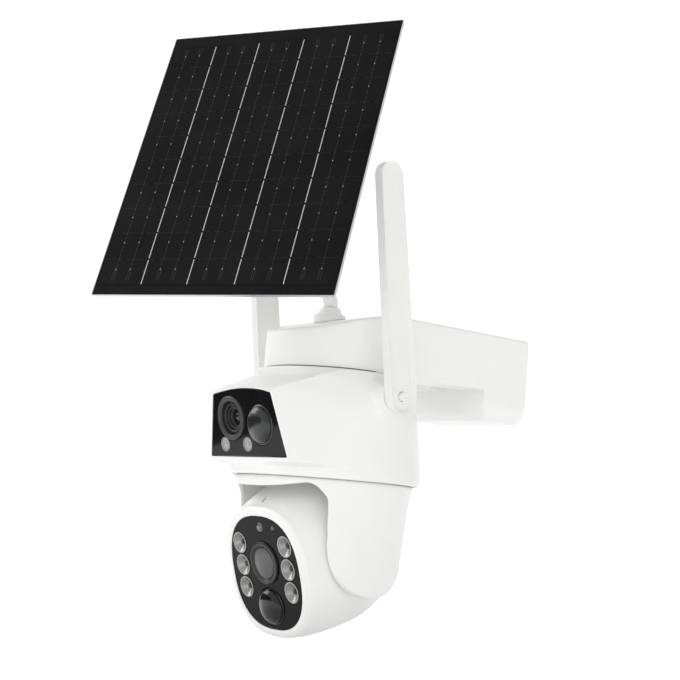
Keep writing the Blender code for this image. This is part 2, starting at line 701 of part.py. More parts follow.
SPLIT = -20.0
front = [h for h in HEAD if h[0] > SPLIT + 0.5] + [head_at(SPLIT + 0.15)]
shell = loft("head_front_shell", [head_ring(*h) for h in front], color=WHITE)
place(shell, (0, 0, 0), (0, 0, 0), tilt)
inner = [(45.2,) + head_at(46.5)[1:]] + [h for h in front if h[0] < 45] + \
        [(SPLIT - 5,) + head_at(SPLIT)[1:]]
head_hollow = loft("head_hollow", [head_ring(*h, inset=2.4, n=24)
                                     for h in inner],
                   cutter=True)
place(head_hollow, (0, 0, 0), (0, 0, 0), tilt)
cut(shell, head_hollow)
face_open = plate("face_opening", superellipse(FACE_HW + 0.3, FACE_HH + 0.3,
                                               2.5, 40, FACE_C), 6.0,
                  cutter=True)
place(face_open, (0, -(FACE_S + 0.5) * MM, 0), (90, 0, 0), tilt)
cut(shell, face_open)
ledge = plate("face_ledge", superellipse(FACE_HW - 2.4, FACE_HH - 2.4, 2.5, 28,
                                         FACE_C), 14.0, cutter=True)
place(ledge, (0, -44.0 * MM, 0), (90, 0, 0), tilt)
cut(shell, ledge)
rear = [head_at(SPLIT - 0.15)] + [h for h in HEAD if h[0] < SPLIT - 0.5]
cap = loft("head_rear_shell", [head_ring(*h) for h in rear], color=WHITE)
place(cap, (0, 0, 0), (0, 0, 0), tilt)
rear_in = [(SPLIT + 5,) + head_at(SPLIT)[1:]] + \
          [(h[0] + 0.6 + (2.0 if h[0] < -37 else 0.0),) + h[1:] for h in rear[1:-1]]
cap_hollow = loft("head_rear_hollow", [head_ring(*h, inset=2.4, n=24)
                                       for h in rear_in], cutter=True)
place(cap_hollow, (0, 0, 0), (0, 0, 0), tilt)
cut(cap, cap_hollow)
for s, tag in ((1, "right"), (-1, "left")):
    h = rod("head_bore_" + tag, 8.5, 8.5, 14, 28, cutter=True)
    place(h, (s * 46 * MM, 0, 0), (0, 90, 0), tilt)
    cut(shell, h)

face = empty("face_plane", (0, -(FACE_S - 0.3) * MM, 0), (0, 0, 0), tilt)
LENS, DOME = (0.0, -3.0), (0.0, -32.4)
LIGHT, STATUS = (0.3, 20.8), (14.6, 20.8)
LEDS = [(sx * 24.9, -5.8 + k * 15.1) for sx in (-1, 1) for k in (1, 0, -1)]
fp = plate("face_panel", superellipse(FACE_HW, FACE_HH, 2.5, 40, FACE_C), 2.0,
           [circle(*LENS, 14.6, 22), circle(*DOME, 13.1, 22),
            circle(*LIGHT, 3.7, 12), circle(*STATUS, 1.9, 8)] +
           [circle(u, v, 7.35, 14) for u, v in LEDS],
           color=(0.02, 0.02, 0.022), rough=0.15)
place(fp, (0, 1.0 * MM, 0), (90, 0, 0), face)
bz = turned("main_lens_bezel",
            [(14.3, 1.2), (14.3, -6.0), (12.8, -6.0), (10.6, -2.8),
             (10.6, -0.4), (11.6, 0.8), (13.2, 1.6)], 20, closed=True,
            color=(0.03, 0.03, 0.032), rough=0.4)
in_plane(bz, face, *LENS)
bl = turned("main_lens_barrel",
            [(10.3, -0.2), (10.3, -3.2), (9.6, -8.0), (9.6, -24.0), (5.2, -24.0),
             (5.2, -6.0), (9.4, -3.6), (9.4, -0.2)], 18, closed=True,
            color=(0.02, 0.02, 0.022), rough=0.4)
in_plane(bl, face, *LENS)
gl = turned("main_lens_glass",
            [(0, -0.2), (4.5, -0.5), (9.1, -1.6), (9.1, -3.2), (0, -3.2)], 16,
            color=(0.35, 0.36, 0.37), rough=0.05)
in_plane(gl, face, *LENS)
pd = turned("lower_pir_lens",
            [(0, 5.6), (5.0, 4.8), (9.0, 2.8), (11.4, 0.2), (12.7, -0.2),
             (12.7, -2.4), (10.6, -1.2), (6.3, 2.8), (0, 4.2)], 18, color=(0.1, 0.105, 0.11), rough=0.2)
in_plane(pd, face, *DOME)
for i, (u, v) in enumerate(LEDS):
    ld = turned("ir_led_%d" % (i + 1),
                [(0, -2.4), (1.5, -2.4), (1.5, -3.4), (3.0, -3.4), (6.4, -0.2),
                 (7.0, -0.2), (7.0, -1.8), (5.6, -2.2), (5.6, -4.8), (0, -4.8)], 12,
                color=(0.75, 0.75, 0.76), rough=0.15, metal=1.0)
    in_plane(ld, face, u, v)
ls = turned("light_sensor", [(0, 0.5), (2.4, 0.1), (3.3, -0.9), (3.3, -3.4),
                             (0, -3.4)], 10, color=(0.18, 0.19, 0.2),
            rough=0.1)
in_plane(ls, face, *LIGHT)
st = turned("status_led", [(0, 0.2), (1.1, -0.2), (1.6, -1.0), (1.6, -3.6),
                           (0, -3.6)], 10, color=(0.5, 0.5, 0.5), rough=0.2)
in_plane(st, face, *STATUS)
fb = plate("face_board", superellipse(34.0, 33.0, 2.4, 24, FACE_C), 1.6,
           [circle(*LENS, 10.4)], color=(0.02, 0.18, 0.07), rough=0.5)
place(fb, (0, 7.4 * MM, 0), (90, 0, 0), face)
mic = rod("microphone", 3.0, 3.0, 3.0, 20, color=(0.08, 0.08, 0.08), rough=0.5)
place(mic, (0, -38.9 * MM, 32.9 * MM), (28, 0, 0), tilt)

# the tilt pinion rolls round the fixed gear as the head tilts
tp_axis = empty("tilt_pinion_axis", (-TILT_GEAR_X * MM, 0, -TILT_CD * MM),
                (0, 0, 0), tilt)
tp = plate("tilt_pinion", gear(PINION_TEETH, TILT_MOD, 18.0), 3.6,
           color=(0.85, 0.83, 0.76), rough=0.5)
tsh = rod("tilt_pinion_shaft", 2.0, 2.0, 7.0, 16, cutter=True)
place(tsh, (3.0 * MM, 0, 0), (0, 90, 0), tp_axis)
place(tp, (0, 0, 0), (0, 90, 0), tp_axis)
join(tp, tsh)
tm = turned("tilt_motor", [(0, 18.0), (9.0, 18.0), (10.0, 17.0), (10.0, 3.0),
                           (2.3, 3.0), (2.3, 8.0), (0, 8.0)], 14,
            color=(0.55, 0.55, 0.57), rough=0.35, metal=0.8)
place(tm, (-TILT_GEAR_X * MM, 0, -TILT_CD * MM), (0, 90, 0), tilt)

# ------------------------------------------------------------------ antennas
for s, tag in ((1, "right"), (-1, "left")):
    ax = empty("antenna_axis_" + tag, at(s * ANT_X, ANT_Y, ANT_Z),
               (ANT_LEAN, 0, 0))
    out = arc(0, 0, 10.6, 180, 360, 10) + [(9.2, ANT_LEN - 9.0)] + \
        arc(0, ANT_LEN - 9.0, 9.0, 0, 180, 8)
    pad = plate("antenna_" + tag, out, 8.6, color=WHITE)
    place(pad, (0, 0, 0), (90, 0, 90), ax)
    round_edges(pad, 2.2, 2, 50)
    hole = rod("antenna_hole_" + tag, 3.3, 3.3, 20, 20, cutter=True)
    place(hole, (0, 0, 0), (0, 90, 0), ax)
    cut(pad, hole)
    bore = rod("boss_bore_" + tag, 3.3, 3.3, 16, 20, cutter=True)
    place(bore, at(s * 61, ANT_Y, ANT_Z), (0, 90, 0))
    cut(drum, bore)
    pin = turned("antenna_pin_" + tag,
                 [(0, 4.3), (2.9, 4.3), (2.9, -10.0), (0, -10.0)],
                 20, color=(0.8, 0.8, 0.78), rough=0.4)
    place(pin, (0, 0, 0), (0, 90 * s, 0), ax)

# --------------------------------------------------------------- solar panel
foot = turned("panel_base", [(0, 8.0), (6.6, 8.0), (7.2, 7.2), (7.8, 4.4),
                             (10.4, 3.0), (11.0, 2.0), (11.0, -10.0),
                             (0, -10.0)], 16, color=WHITE)
place(foot, at(0, -6.0, 110.0))
under = plate("arm_under_foot", arm_side(0, WALL_Y, GAP), 60.0, cutter=True)
upright(under)
cut(foot, under)


def stem_point(t):
    """S-shaped stem: leaning forward between its upright ends."""
    f = 3 * t * t - 2 * t * t * t
    z0, z1 = 119.6, JOINT_Z - 19.8
    return at(0, -6.0 + (JOINT_Y + 6.0) * f, z0 + (z1 - z0) * t)


line = [stem_point(i / 12) for i in range(13)]
line = [line[0] - Vector((0, 0, 1.2 * MM))] + line + \
       [line[-1] + Vector((0, 0, 1.2 * MM))]
stem = tube("panel_stem", line, 5.0, 2)

swivel = empty("panel_swivel_axis", at(0, JOINT_Y, JOINT_Z), (0, 0, PANEL_YAW))
clevis = turned("swivel_clevis", [(0, -13.0), (9.2, -13.0), (10.2, -14.0),
                                  (10.2, -18.2), (0, -18.2)], 14, color=WHITE)
place(clevis, (0, 0, 0), (0, 0, 0), swivel)
for s in (1, -1):
    ear = plate("clevis_ear_%s" % ("right" if s > 0 else "left"),
                arc(0, 0, 7.0, 0, 180, 12) + [(-7.0, -14.0), (7.0, -14.0)],
                3.0, cutter=True)
    place(ear, (s * 7.9 * MM, 0, 0), (90, 0, 90), swivel)
    join(clevis, ear)
ear_bore = rod("clevis_bore", 3.1, 3.1, 30, 20, cutter=True)
place(ear_bore, (0, 0, 0), (0, 90, 0), swivel)
cut(clevis, ear_bore)

panel_tilt = empty("panel_tilt_axis", (0, 0, 0), (-PANEL_LEAN, 0, 0), swivel)
bolt = turned("tilt_bolt", [(0, 19.0), (8.6, 18.4), (9.2, 17.4), (9.2, 10.6),
                            (8.4, 9.8), (2.8, 9.8), (2.8, -9.8), (5.4, -9.8),
                            (5.4, -12.4), (0, -12.4)], 12,
              color=(0.1, 0.1, 0.1), rough=0.5)
place(bolt, (0, 0, 0), (0, 90, 0), panel_tilt)
BACK = PANEL_OUT - PANEL_T
hinge = plate("hinge_plate", rounded_rect(52, 52, 6, 3), 3.0, color=WHITE)
place(hinge, (0, -(BACK - GAP - 1.5) * MM, 0), (90, 0, 0), panel_tilt)
lug = plate("hinge_lug", arc(0, 0, 6.8, -90, 90, 12) +
            [(-(BACK - 2.0), 11.0), (-(BACK - 2.0), -11.0)], 12.0, cutter=True)
place(lug, (0, 0, 0), (90, 0, 90), panel_tilt)
join(hinge, lug)
lug_bore = rod("hinge_bore", 3.1, 3.1, 20, 20, cutter=True)
place(lug_bore, (0, 0, 0), (0, 90, 0), panel_tilt)
cut(hinge, lug_bore)
fr = plate("panel_frame", rounded_rect(PANEL_W, PANEL_H, 2.0, 2), PANEL_T,
           color=(0.72, 0.73, 0.74), rough=0.35, metal=0.9)
place(fr, (0, -(PANEL_OUT - PANEL_T / 2) * MM, 0), (90, 0, 0), panel_tilt)
tray = plate("panel_tray", rounded_rect(PANEL_W - 2.4, PANEL_H - 2.4, 1.2, 2),
             4.0, cutter=True)
place(tray, (0, -(PANEL_OUT + 0.6) * MM, 0), (90, 0, 0), panel_tilt)
cut(fr, tray)
cells = plate("panel_laminate", rounded_rect(PANEL_W - 3.0, PANEL_H - 3.0, 1.0,
                                             2), 0.9, color=BLACK, rough=0.2)
place(cells, (0, -(PANEL_OUT - 0.65) * MM, 0), (90, 0, 0), panel_tilt)
jb = box("junction_box", 44, 13, 32, color=(0.05, 0.05, 0.05), rough=0.5)
place(jb, (0, -(BACK - GAP - 6.5) * MM, -60 * MM), (0, 0, 0), panel_tilt)
round_edges(jb, 2.0)
jg = rod("junction_gland", 5.0, 4.0, 9.0, 20, cutter=True)
place(jg, (0, -(BACK - GAP - 6.5) * MM, -(60 + 16 + 4.0) * MM), (180, 0, 0),
      panel_tilt)
join(jb, jg)
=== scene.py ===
import json
import math

import bmesh
import bpy
import numpy as np
from mathutils import Matrix, Vector


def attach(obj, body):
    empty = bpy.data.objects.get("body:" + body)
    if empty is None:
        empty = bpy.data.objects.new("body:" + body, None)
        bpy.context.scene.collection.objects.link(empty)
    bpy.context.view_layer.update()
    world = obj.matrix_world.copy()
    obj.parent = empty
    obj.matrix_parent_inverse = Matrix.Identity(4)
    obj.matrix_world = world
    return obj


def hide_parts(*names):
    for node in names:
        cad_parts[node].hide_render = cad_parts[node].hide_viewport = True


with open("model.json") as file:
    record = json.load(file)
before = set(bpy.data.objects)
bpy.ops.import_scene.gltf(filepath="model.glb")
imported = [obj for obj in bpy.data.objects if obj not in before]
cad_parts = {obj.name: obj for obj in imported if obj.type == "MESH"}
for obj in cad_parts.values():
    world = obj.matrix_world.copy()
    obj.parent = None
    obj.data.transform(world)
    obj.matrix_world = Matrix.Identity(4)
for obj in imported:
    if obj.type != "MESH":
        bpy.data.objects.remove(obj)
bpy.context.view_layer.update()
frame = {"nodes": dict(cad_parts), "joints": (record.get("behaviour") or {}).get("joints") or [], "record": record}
NODES = frame["nodes"]
JOINTS = {j["name"]: j for j in frame["joints"]}
MM = 0.001
PAN = Vector(JOINTS["pan"]["pos_m"])            # pan axis, at the drum's lower rim
TILT = Vector(JOINTS["tilt"]["pos_m"])
HINGE = Vector(JOINTS["panel_tilt"]["pos_m"])
rad = math.radians

# ------------------------------------------------------------------- camera
AZ, EL, ROLL = rad(51.69), rad(-7.14), rad(4.42)
cam_data = bpy.data.cameras.new("camera")
cam = bpy.data.objects.new("camera", cam_data)
bpy.context.scene.collection.objects.link(cam)
back = Vector((math.sin(AZ) * math.cos(EL), -math.cos(AZ) * math.cos(EL), math.sin(EL)))
right = Vector((math.cos(AZ), math.sin(AZ), 0.0))
up = back.cross(right)
r2 = right * math.cos(ROLL) + up * math.sin(ROLL)
u2 = -right * math.sin(ROLL) + up * math.cos(ROLL)
m = Matrix.Identity(4)
for i in range(3):
    m[i][0], m[i][1], m[i][2] = r2[i], u2[i], back[i]
cam.matrix_world = Matrix.Translation(Vector((0.780004, -0.754824, -0.112244))) @ m
cam_data.lens = 76.84
cam_data.sensor_width = 36.0
cam_data.sensor_fit = "HORIZONTAL"
cam_data.clip_start = 0.01
cam_data.clip_end = 50.0
bpy.context.scene.camera = cam


# ---------------------------------------------------------------- materials
def nodes_of(name):
    mat = bpy.data.materials.new(name)
    mat.use_nodes = True
    nt = mat.node_tree
    return mat, nt, nt.nodes["Principled BSDF"], nt.links


def add_node(nt, kind, **values):
    n = nt.nodes.new(kind)
    for k, v in values.items():
        if k in n.inputs:
            n.inputs[k].default_value = v
        else:
            setattr(n, k, v)
    return n


def ramp(nt, source, stops):
    r = nt.nodes.new("ShaderNodeValToRGB")
    while len(r.color_ramp.elements) < len(stops):
        r.color_ramp.elements.new(0.5)
    for e, (p, c) in zip(r.color_ramp.elements, stops):
        e.position = p
        e.color = (*c, 1.0) if len(c) == 3 else c
    nt.links.new(source, r.inputs["Fac"])
    return r


def scaled(c, f):
    return tuple(min(1.0, max(0.0, k * f)) for k in c)


def plastic(name, color, rough=0.35, grain=2600.0, bump=0.000012, vary=0.02,
            spec=0.5, coat=0.0, metal=0.0, coat_rough=0.05):
    """Moulded plastic: faint tone drift, fine grain in roughness and bump."""
    mat, nt, p, L = nodes_of(name)
    tc = nt.nodes.new("ShaderNodeTexCoord")
    big = add_node(nt, "ShaderNodeTexNoise", Scale=38.0, Detail=3.0, Roughness=0.55)
    fine = add_node(nt, "ShaderNodeTexNoise", Scale=grain, Detail=2.0, Roughness=0.6)
    L.new(tc.outputs["Object"], big.inputs["Vector"])
    L.new(tc.outputs["Object"], fine.inputs["Vector"])
    r = ramp(nt, big.outputs["Fac"], [(0.3, scaled(color, 1 - vary)), (0.7, scaled(color, 1 + vary))])
    L.new(r.outputs["Color"], p.inputs["Base Color"])
    rr = add_node(nt, "ShaderNodeMapRange")
    rr.inputs["From Min"].default_value = 0.3
    rr.inputs["From Max"].default_value = 0.7
    rr.inputs["To Min"].default_value = max(0.02, rough * 0.86)
    rr.inputs["To Max"].default_value = min(1.0, rough * 1.14)
    L.new(fine.outputs["Fac"], rr.inputs["Value"])
    L.new(rr.outputs["Result"], p.inputs["Roughness"])
    if bump:
        b = add_node(nt, "ShaderNodeBump", Strength=0.5)
        b.inputs["Distance"].default_value = bump
        L.new(fine.outputs["Fac"], b.inputs["Height"])
        L.new(b.outputs["Normal"], p.inputs["Normal"])
    p.inputs["Specular IOR Level"].default_value = spec
    p.inputs["Metallic"].default_value = metal
    p.inputs["Coat Weight"].default_value = coat
    p.inputs["Coat Roughness"].default_value = coat_rough
    return mat


def brushed(name, color, rough=0.28, stretch=(1.0, 1.0, 60.0), scale=120.0):
    mat, nt, p, L = nodes_of(name)
    tc = nt.nodes.new("ShaderNodeTexCoord")
    mp = nt.nodes.new("ShaderNodeMapping")
    mp.inputs["Scale"].default_value = stretch
    n = add_node(nt, "ShaderNodeTexNoise", Scale=scale, Detail=5.0, Roughness=0.65)
    L.new(tc.outputs["Object"], mp.inputs["Vector"])
    L.new(mp.outputs["Vector"], n.inputs["Vector"])
    r = ramp(nt, n.outputs["Fac"], [(0.25, scaled(color, 0.85)), (0.75, scaled(color, 1.1))])
    L.new(r.outputs["Color"], p.inputs["Base Color"])
    rr = add_node(nt, "ShaderNodeMapRange")
    rr.inputs["To Min"].default_value = rough * 0.7
    rr.inputs["To Max"].default_value = rough * 1.3
    L.new(n.outputs["Fac"], rr.inputs["Value"])
    L.new(rr.outputs["Result"], p.inputs["Roughness"])
    b = add_node(nt, "ShaderNodeBump", Strength=0.3)
    b.inputs["Distance"].default_value = 0.00002
    L.new(n.outputs["Fac"], b.inputs["Height"])
    L.new(b.outputs["Normal"], p.inputs["Normal"])
    p.inputs["Metallic"].default_value = 1.0
    return mat


WHITE = plastic("white_abs", (0.93, 0.93, 0.915), 0.36, vary=0.012, spec=0.4)
WHITE2 = plastic("white_paddle_plastic", (0.885, 0.885, 0.865), 0.42, vary=0.012)
SEAL = plastic("grey_seal_rubber", (0.16, 0.16, 0.155), 0.75, grain=1500, bump=0.00004, vary=0.08)
RUBBER = plastic("soft_rubber_white", (0.86, 0.86, 0.845), 0.6, grain=1800, bump=0.00003, vary=0.03)
GLOSS_BLACK = plastic("window_black_acrylic", (0.008, 0.008, 0.009), 0.05, grain=700, bump=0.0, vary=0.2, spec=0.17)
FACE_BLACK = plastic("face_black_acrylic", (0.0055, 0.0055, 0.0055), 0.10, grain=700, bump=0.0, vary=0.2, spec=0.12)
SATIN_BLACK = plastic("satin_black_plastic", (0.02, 0.02, 0.022), 0.32, vary=0.1)
RING = plastic("lens_ring_plastic", (0.040, 0.040, 0.042), 0.38, vary=0.08)
LENS_TUBE = plastic("lens_tube_black", (0.030, 0.030, 0.031), 0.36, vary=0.1)
INNER = plastic("moulded_black", (0.035, 0.035, 0.036), 0.5, vary=0.12, bump=0.00003)
ACETAL = plastic("gear_acetal_plastic", (0.85, 0.83, 0.76), 0.45, vary=0.03)
PIR = plastic("smoked_dome", (0.016, 0.018, 0.017), 0.2, grain=900, bump=0.0, vary=0.15,
              spec=0.5, coat=0.25, coat_rough=0.08)
PIR2 = plastic("smoked_dome_dark", (0.008, 0.0085, 0.009), 0.14, grain=900, bump=0.0, vary=0.15,
               spec=0.4, coat=0.25, coat_rough=0.04)
LENS_GREY = plastic("main_lens_front", (0.095, 0.095, 0.096), 0.32, grain=500, bump=0.0, vary=0.05,
                    spec=0.4, coat=0.12, coat_rough=0.1)
LENS_DARK = plastic("wide_lens_front", (0.012, 0.013, 0.018), 0.05, grain=500, bump=0.0, vary=0.2,
                    spec=0.5, coat=0.35, coat_rough=0.04)
MIRROR = plastic("reflector_chrome", (0.36, 0.36, 0.35), 0.28, grain=900, bump=0.00001, vary=0.06, metal=0.75, spec=0.7)
CHIP = plastic("emitter_chip", (0.06, 0.052, 0.046), 0.25, grain=1500, vary=0.3, spec=0.6)
LED_LENS = plastic("led_diffuser", (0.37, 0.38, 0.36), 0.22, grain=700, bump=0.00001, vary=0.05,
                   spec=0.6, coat=0.5)
SENSOR = plastic("sensor_lens", (0.10, 0.10, 0.105), 0.15, grain=700, bump=0.0, vary=0.1, coat=0.6)
STEEL = brushed("zinc_screw", (0.6, 0.6, 0.62))
CAN = brushed("motor_can_steel", (0.55, 0.55, 0.57))
ALU = brushed("panel_edge_aluminium", (0.66, 0.67, 0.68), 0.3, stretch=(1, 1, 1), scale=500.0)
SILVER = brushed("busbar_ribbon", (0.82, 0.80, 0.75), 0.5, stretch=(1, 1, 1), scale=900.0)
WRAP = plastic("cell_sleeve", (0.05, 0.2, 0.45), 0.3, grain=600, bump=0.00001, vary=0.1, coat=0.3)


def board_material():
    mat, nt, p, L = nodes_of("circuit_board_mask")
    tc = nt.nodes.new("ShaderNodeTexCoord")
    br = add_node(nt, "ShaderNodeTexBrick", Scale=260.0)
    br.inputs["Color1"].default_value = (0.015, 0.15, 0.06, 1)
    br.inputs["Color2"].default_value = (0.02, 0.19, 0.08, 1)
    br.inputs["Mortar"].default_value = (0.03, 0.26, 0.11, 1)
    L.new(tc.outputs["Object"], br.inputs["Vector"])
    L.new(br.outputs["Color"], p.inputs["Base Color"])
    n = add_node(nt, "ShaderNodeTexNoise", Scale=700.0)
    L.new(tc.outputs["Object"], n.inputs["Vector"])
    r = add_node(nt, "ShaderNodeMapRange")
    r.inputs["To Min"].default_value = 0.3
    r.inputs["To Max"].default_value = 0.55
    L.new(n.outputs["Fac"], r.inputs["Value"])
    L.new(r.outputs["Result"], p.inputs["Roughness"])
    return mat


def cell_material():
    """Black silicon under a matt film: hair-fine fingers, blotchy sheen and
    the film's pebbled surface."""
    mat, nt, p, L = nodes_of("solar_cell_black")
    tc = nt.nodes.new("ShaderNodeTexCoord")
    blot = add_node(nt, "ShaderNodeTexNoise", Scale=22.0, Detail=4.0, Roughness=0.6)
    fine = add_node(nt, "ShaderNodeTexNoise", Scale=1900.0, Detail=2.0)
    wav = add_node(nt, "ShaderNodeTexWave", Scale=330.0, Distortion=0.0)
    wav.wave_type = "BANDS"
    wav.bands_direction = "Z"
    for n in (blot, fine, wav):
        L.new(tc.outputs["Object"], n.inputs["Vector"])
    r = ramp(nt, blot.outputs["Fac"], [(0.3, (0.0025, 0.0025, 0.0026)), (0.7, (0.0075, 0.0072, 0.0068))])
    fing = ramp(nt, wav.outputs["Fac"], [(0.86, (0, 0, 0)), (0.98, (0.004, 0.004, 0.004))])
    mix = nt.nodes.new("ShaderNodeMix")
    mix.data_type = "RGBA"
    mix.blend_type = "ADD"
    mix.inputs[0].default_value = 1.0
    L.new(r.outputs["Color"], mix.inputs[6])
    L.new(fing.outputs["Color"], mix.inputs[7])
    L.new(mix.outputs[2], p.inputs["Base Color"])
    rr = add_node(nt, "ShaderNodeMapRange")
    rr.inputs["To Min"].default_value = 0.34
    rr.inputs["To Max"].default_value = 0.52
    L.new(blot.outputs["Fac"], rr.inputs["Value"])
    L.new(rr.outputs["Result"], p.inputs["Roughness"])
    b = add_node(nt, "ShaderNodeBump", Strength=0.4)
    b.inputs["Distance"].default_value = 0.00002
    L.new(fine.outputs["Fac"], b.inputs["Height"])
    L.new(b.outputs["Normal"], p.inputs["Normal"])
    p.inputs["Specular IOR Level"].default_value = 0.09
    return mat


BOARD = board_material()
CELL = cell_material()
SHEET = plastic("panel_backsheet", (0.0065, 0.0065, 0.0064), 0.42, grain=1900, bump=0.00002, vary=0.15, spec=0.09)
FAINT = plastic("faint_ribbon", (0.027, 0.026, 0.025), 0.4, grain=900, bump=0.0, vary=0.2)
FAINT2 = plastic("row_ribbon", (0.015, 0.015, 0.015), 0.4, grain=900, bump=0.0, vary=0.2, spec=0.3)
DOT = plastic("solder_dot", (0.36, 0.35, 0.33), 0.35, grain=900, bump=0.0, vary=0.15, metal=0.4)

SLOT_MATERIAL = {
    "white_shell": WHITE, "white_paddle": WHITE2, "grey_seal": SEAL, "soft_rubber": RUBBER,
    "black_gloss": GLOSS_BLACK, "black_satin": SATIN_BLACK, "dark_ring": RING,
    "lens_glass": LENS_DARK, "pir_dome": PIR, "reflector": MIRROR, "screw_steel": STEEL,
    "motor_can": CAN, "gear_acetal": ACETAL, "circuit_board": BOARD, "cell_wrap": WRAP,
    "inner_black": INNER, "panel_edge": ALU, "solar_cells": SHEET,
}
SLOT_OF = {s["node"]: s["material_slot"] for s in frame["record"]["subparts"]}
BODY_OF = {n: b for b, ns in frame["record"]["behaviour"]["bodies"].items() for n in ns}
for n, ob in NODES.items():
    ob.data.materials.clear()
    ob.data.materials.append(SLOT_MATERIAL[SLOT_OF[n]])
    ob.data.shade_smooth()
    ob.data.set_sharp_from_angle(angle=rad(32))


# ------------------------------------------------------------- mesh helpers
def T(x, y, z):
    """A point in the camera's own frame in mm (pan axis, drum rim)."""
    return Vector((PAN.x + x * MM, PAN.y + y * MM, PAN.z + z * MM))


def frame_at(origin, rx=0.0, rz=0.0, pre=None):
    """Local frame: turned by rx about X, then by rz about Z, at origin."""
    mm = Matrix.Translation(origin) @ Matrix.Rotation(rad(rz), 4, "Z") @ Matrix.Rotation(rad(rx), 4, "X")
    return mm


OUT = Matrix.Rotation(rad(90), 4, "X")          # local Z to local -Y


def finish_piece(ob, mat, node=None, body=None, slot=None, angle=38.0, smooth=True):
    me = ob.data
    me.materials.clear()
    me.materials.append(mat)
    if smooth:
        me.shade_smooth()
        if angle:
            me.set_sharp_from_angle(angle=rad(angle))
    if node:
        names = (node,) if isinstance(node, str) else tuple(node)
        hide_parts(*names)
        body = body or BODY_OF[names[0]]
        slot = slot or SLOT_OF[names[0]]
    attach(ob, body)
    return ob


def from_bm(name, bm, matrix=None, doubles=0.0000005):
    bmesh.ops.remove_doubles(bm, verts=bm.verts, dist=doubles)
    bmesh.ops.dissolve_degenerate(bm, edges=bm.edges, dist=doubles * 0.5)
    if matrix is not None:
        bmesh.ops.transform(bm, matrix=matrix, verts=bm.verts)
    bmesh.ops.recalc_face_normals(bm, faces=bm.faces)
    me = bpy.data.meshes.new(name)
    bm.to_mesh(me)
    bm.free()
    ob = bpy.data.objects.new(name, me)
    bpy.context.scene.collection.objects.link(ob)
    return ob


def loft(name, rings, matrix=None, cap0=True, cap1=True, ladder=False):
    """Skin between rings of points in mm.  ladder caps a ring that mirrors
    left to right with quads from side to side."""
    bm = bmesh.new()
    rows = [[bm.verts.new(Vector(p) * MM) for p in r] for r in rings]
    n = len(rows[0])
    for a, b in zip(rows, rows[1:]):
        for i in range(n):
            j = (i + 1) % n
            bm.faces.new((a[i], a[j], b[j], b[i]))

    def cap(row):
        if ladder:
            for i in range(n // 2):
                a, b, c, d = row[i], row[i + 1], row[n - 2 - i], row[n - 1 - i]
                if len({a, b, c, d}) == 4:
                    bm.faces.new((a, b, c, d))
                elif len({a, b, c, d}) == 3:
                    q = []
                    for k in (a, b, c, d):
                        if k not in q:
                            q.append(k)
                    bm.faces.new(q)
                if i + 1 >= n - 2 - i:
                    break
        else:
            bm.faces.new(row)
    if cap0:
        cap(rows[0])
    if cap1:
        cap(rows[-1])
    return from_bm(name, bm, matrix)


def rounded(profile, r=0.4, n=4, closed=False):
    """Rounds the corners of a polyline; a point may carry its own radius."""
    pts = [tuple(p) for p in profile]
    out = []
    m_ = len(pts)
    for i, p in enumerate(pts):
        rr = p[2] if len(p) > 2 else r
        if not closed and i in (0, m_ - 1) or rr <= 0:
            out.append((p[0], p[1]))
            continue
        a, b = pts[i - 1], pts[(i + 1) % m_]
        va = Vector((a[0] - p[0], a[1] - p[1]))
        vb = Vector((b[0] - p[0], b[1] - p[1]))
        la, lb = va.length, vb.length
        if la < 1e-6 or lb < 1e-6:
            continue
        va.normalize()
        vb.normalize()
        cosang = max(-1.0, min(1.0, va.dot(vb)))
        ang = math.acos(cosang)
        if ang > rad(176) or ang < rad(4):
            out.append((p[0], p[1]))
            continue
        t = min(rr / math.tan(ang / 2), 0.46 * la, 0.46 * lb)
        r_ = t * math.tan(ang / 2)
        pa = Vector((p[0], p[1])) + va * t
        pb = Vector((p[0], p[1])) + vb * t
        bis = (va + vb).normalized()
        c = Vector((p[0], p[1])) + bis * (r_ / math.sin(ang / 2))
        a0 = math.atan2(pa.y - c.y, pa.x - c.x)
        a1 = math.atan2(pb.y - c.y, pb.x - c.x)
        d = (a1 - a0 + math.pi) % math.tau - math.pi
        for k in range(n + 1):
            t_ = a0 + d * k / n
            out.append((c.x + r_ * math.cos(t_), c.y + r_ * math.sin(t_)))
    return out


def turned(name, profile, matrix, segs=72, closed=False, facet=None):
    """A profile of (radius, height) in mm turned about the local Z axis."""
    bm = bmesh.new()
    rows = []
    for r, z in profile:
        if r < 1e-6:
            rows.append([bm.verts.new((0, 0, z * MM))] * segs)
        else:
            rows.append([bm.verts.new((r * MM * math.cos(math.tau * i / segs),
                                       r * MM * math.sin(math.tau * i / segs), z * MM))
                         for i in range(segs)])
    pairs = list(zip(rows, rows[1:]))
    if closed:
        pairs.append((rows[-1], rows[0]))
    for a, b in pairs:
        for i in range(segs):
            j = (i + 1) % segs
            q = []
            for v in (a[i], a[j], b[j], b[i]):
                if v not in q:
                    q.append(v)
            if len(q) > 2:
                bm.faces.new(q)
    if not closed:
        for row, (r, z) in ((rows[0], profile[0]), (rows[-1], profile[-1])):
            if r > 1e-6:
                bm.faces.new(row)
    return from_bm(name, bm, matrix)


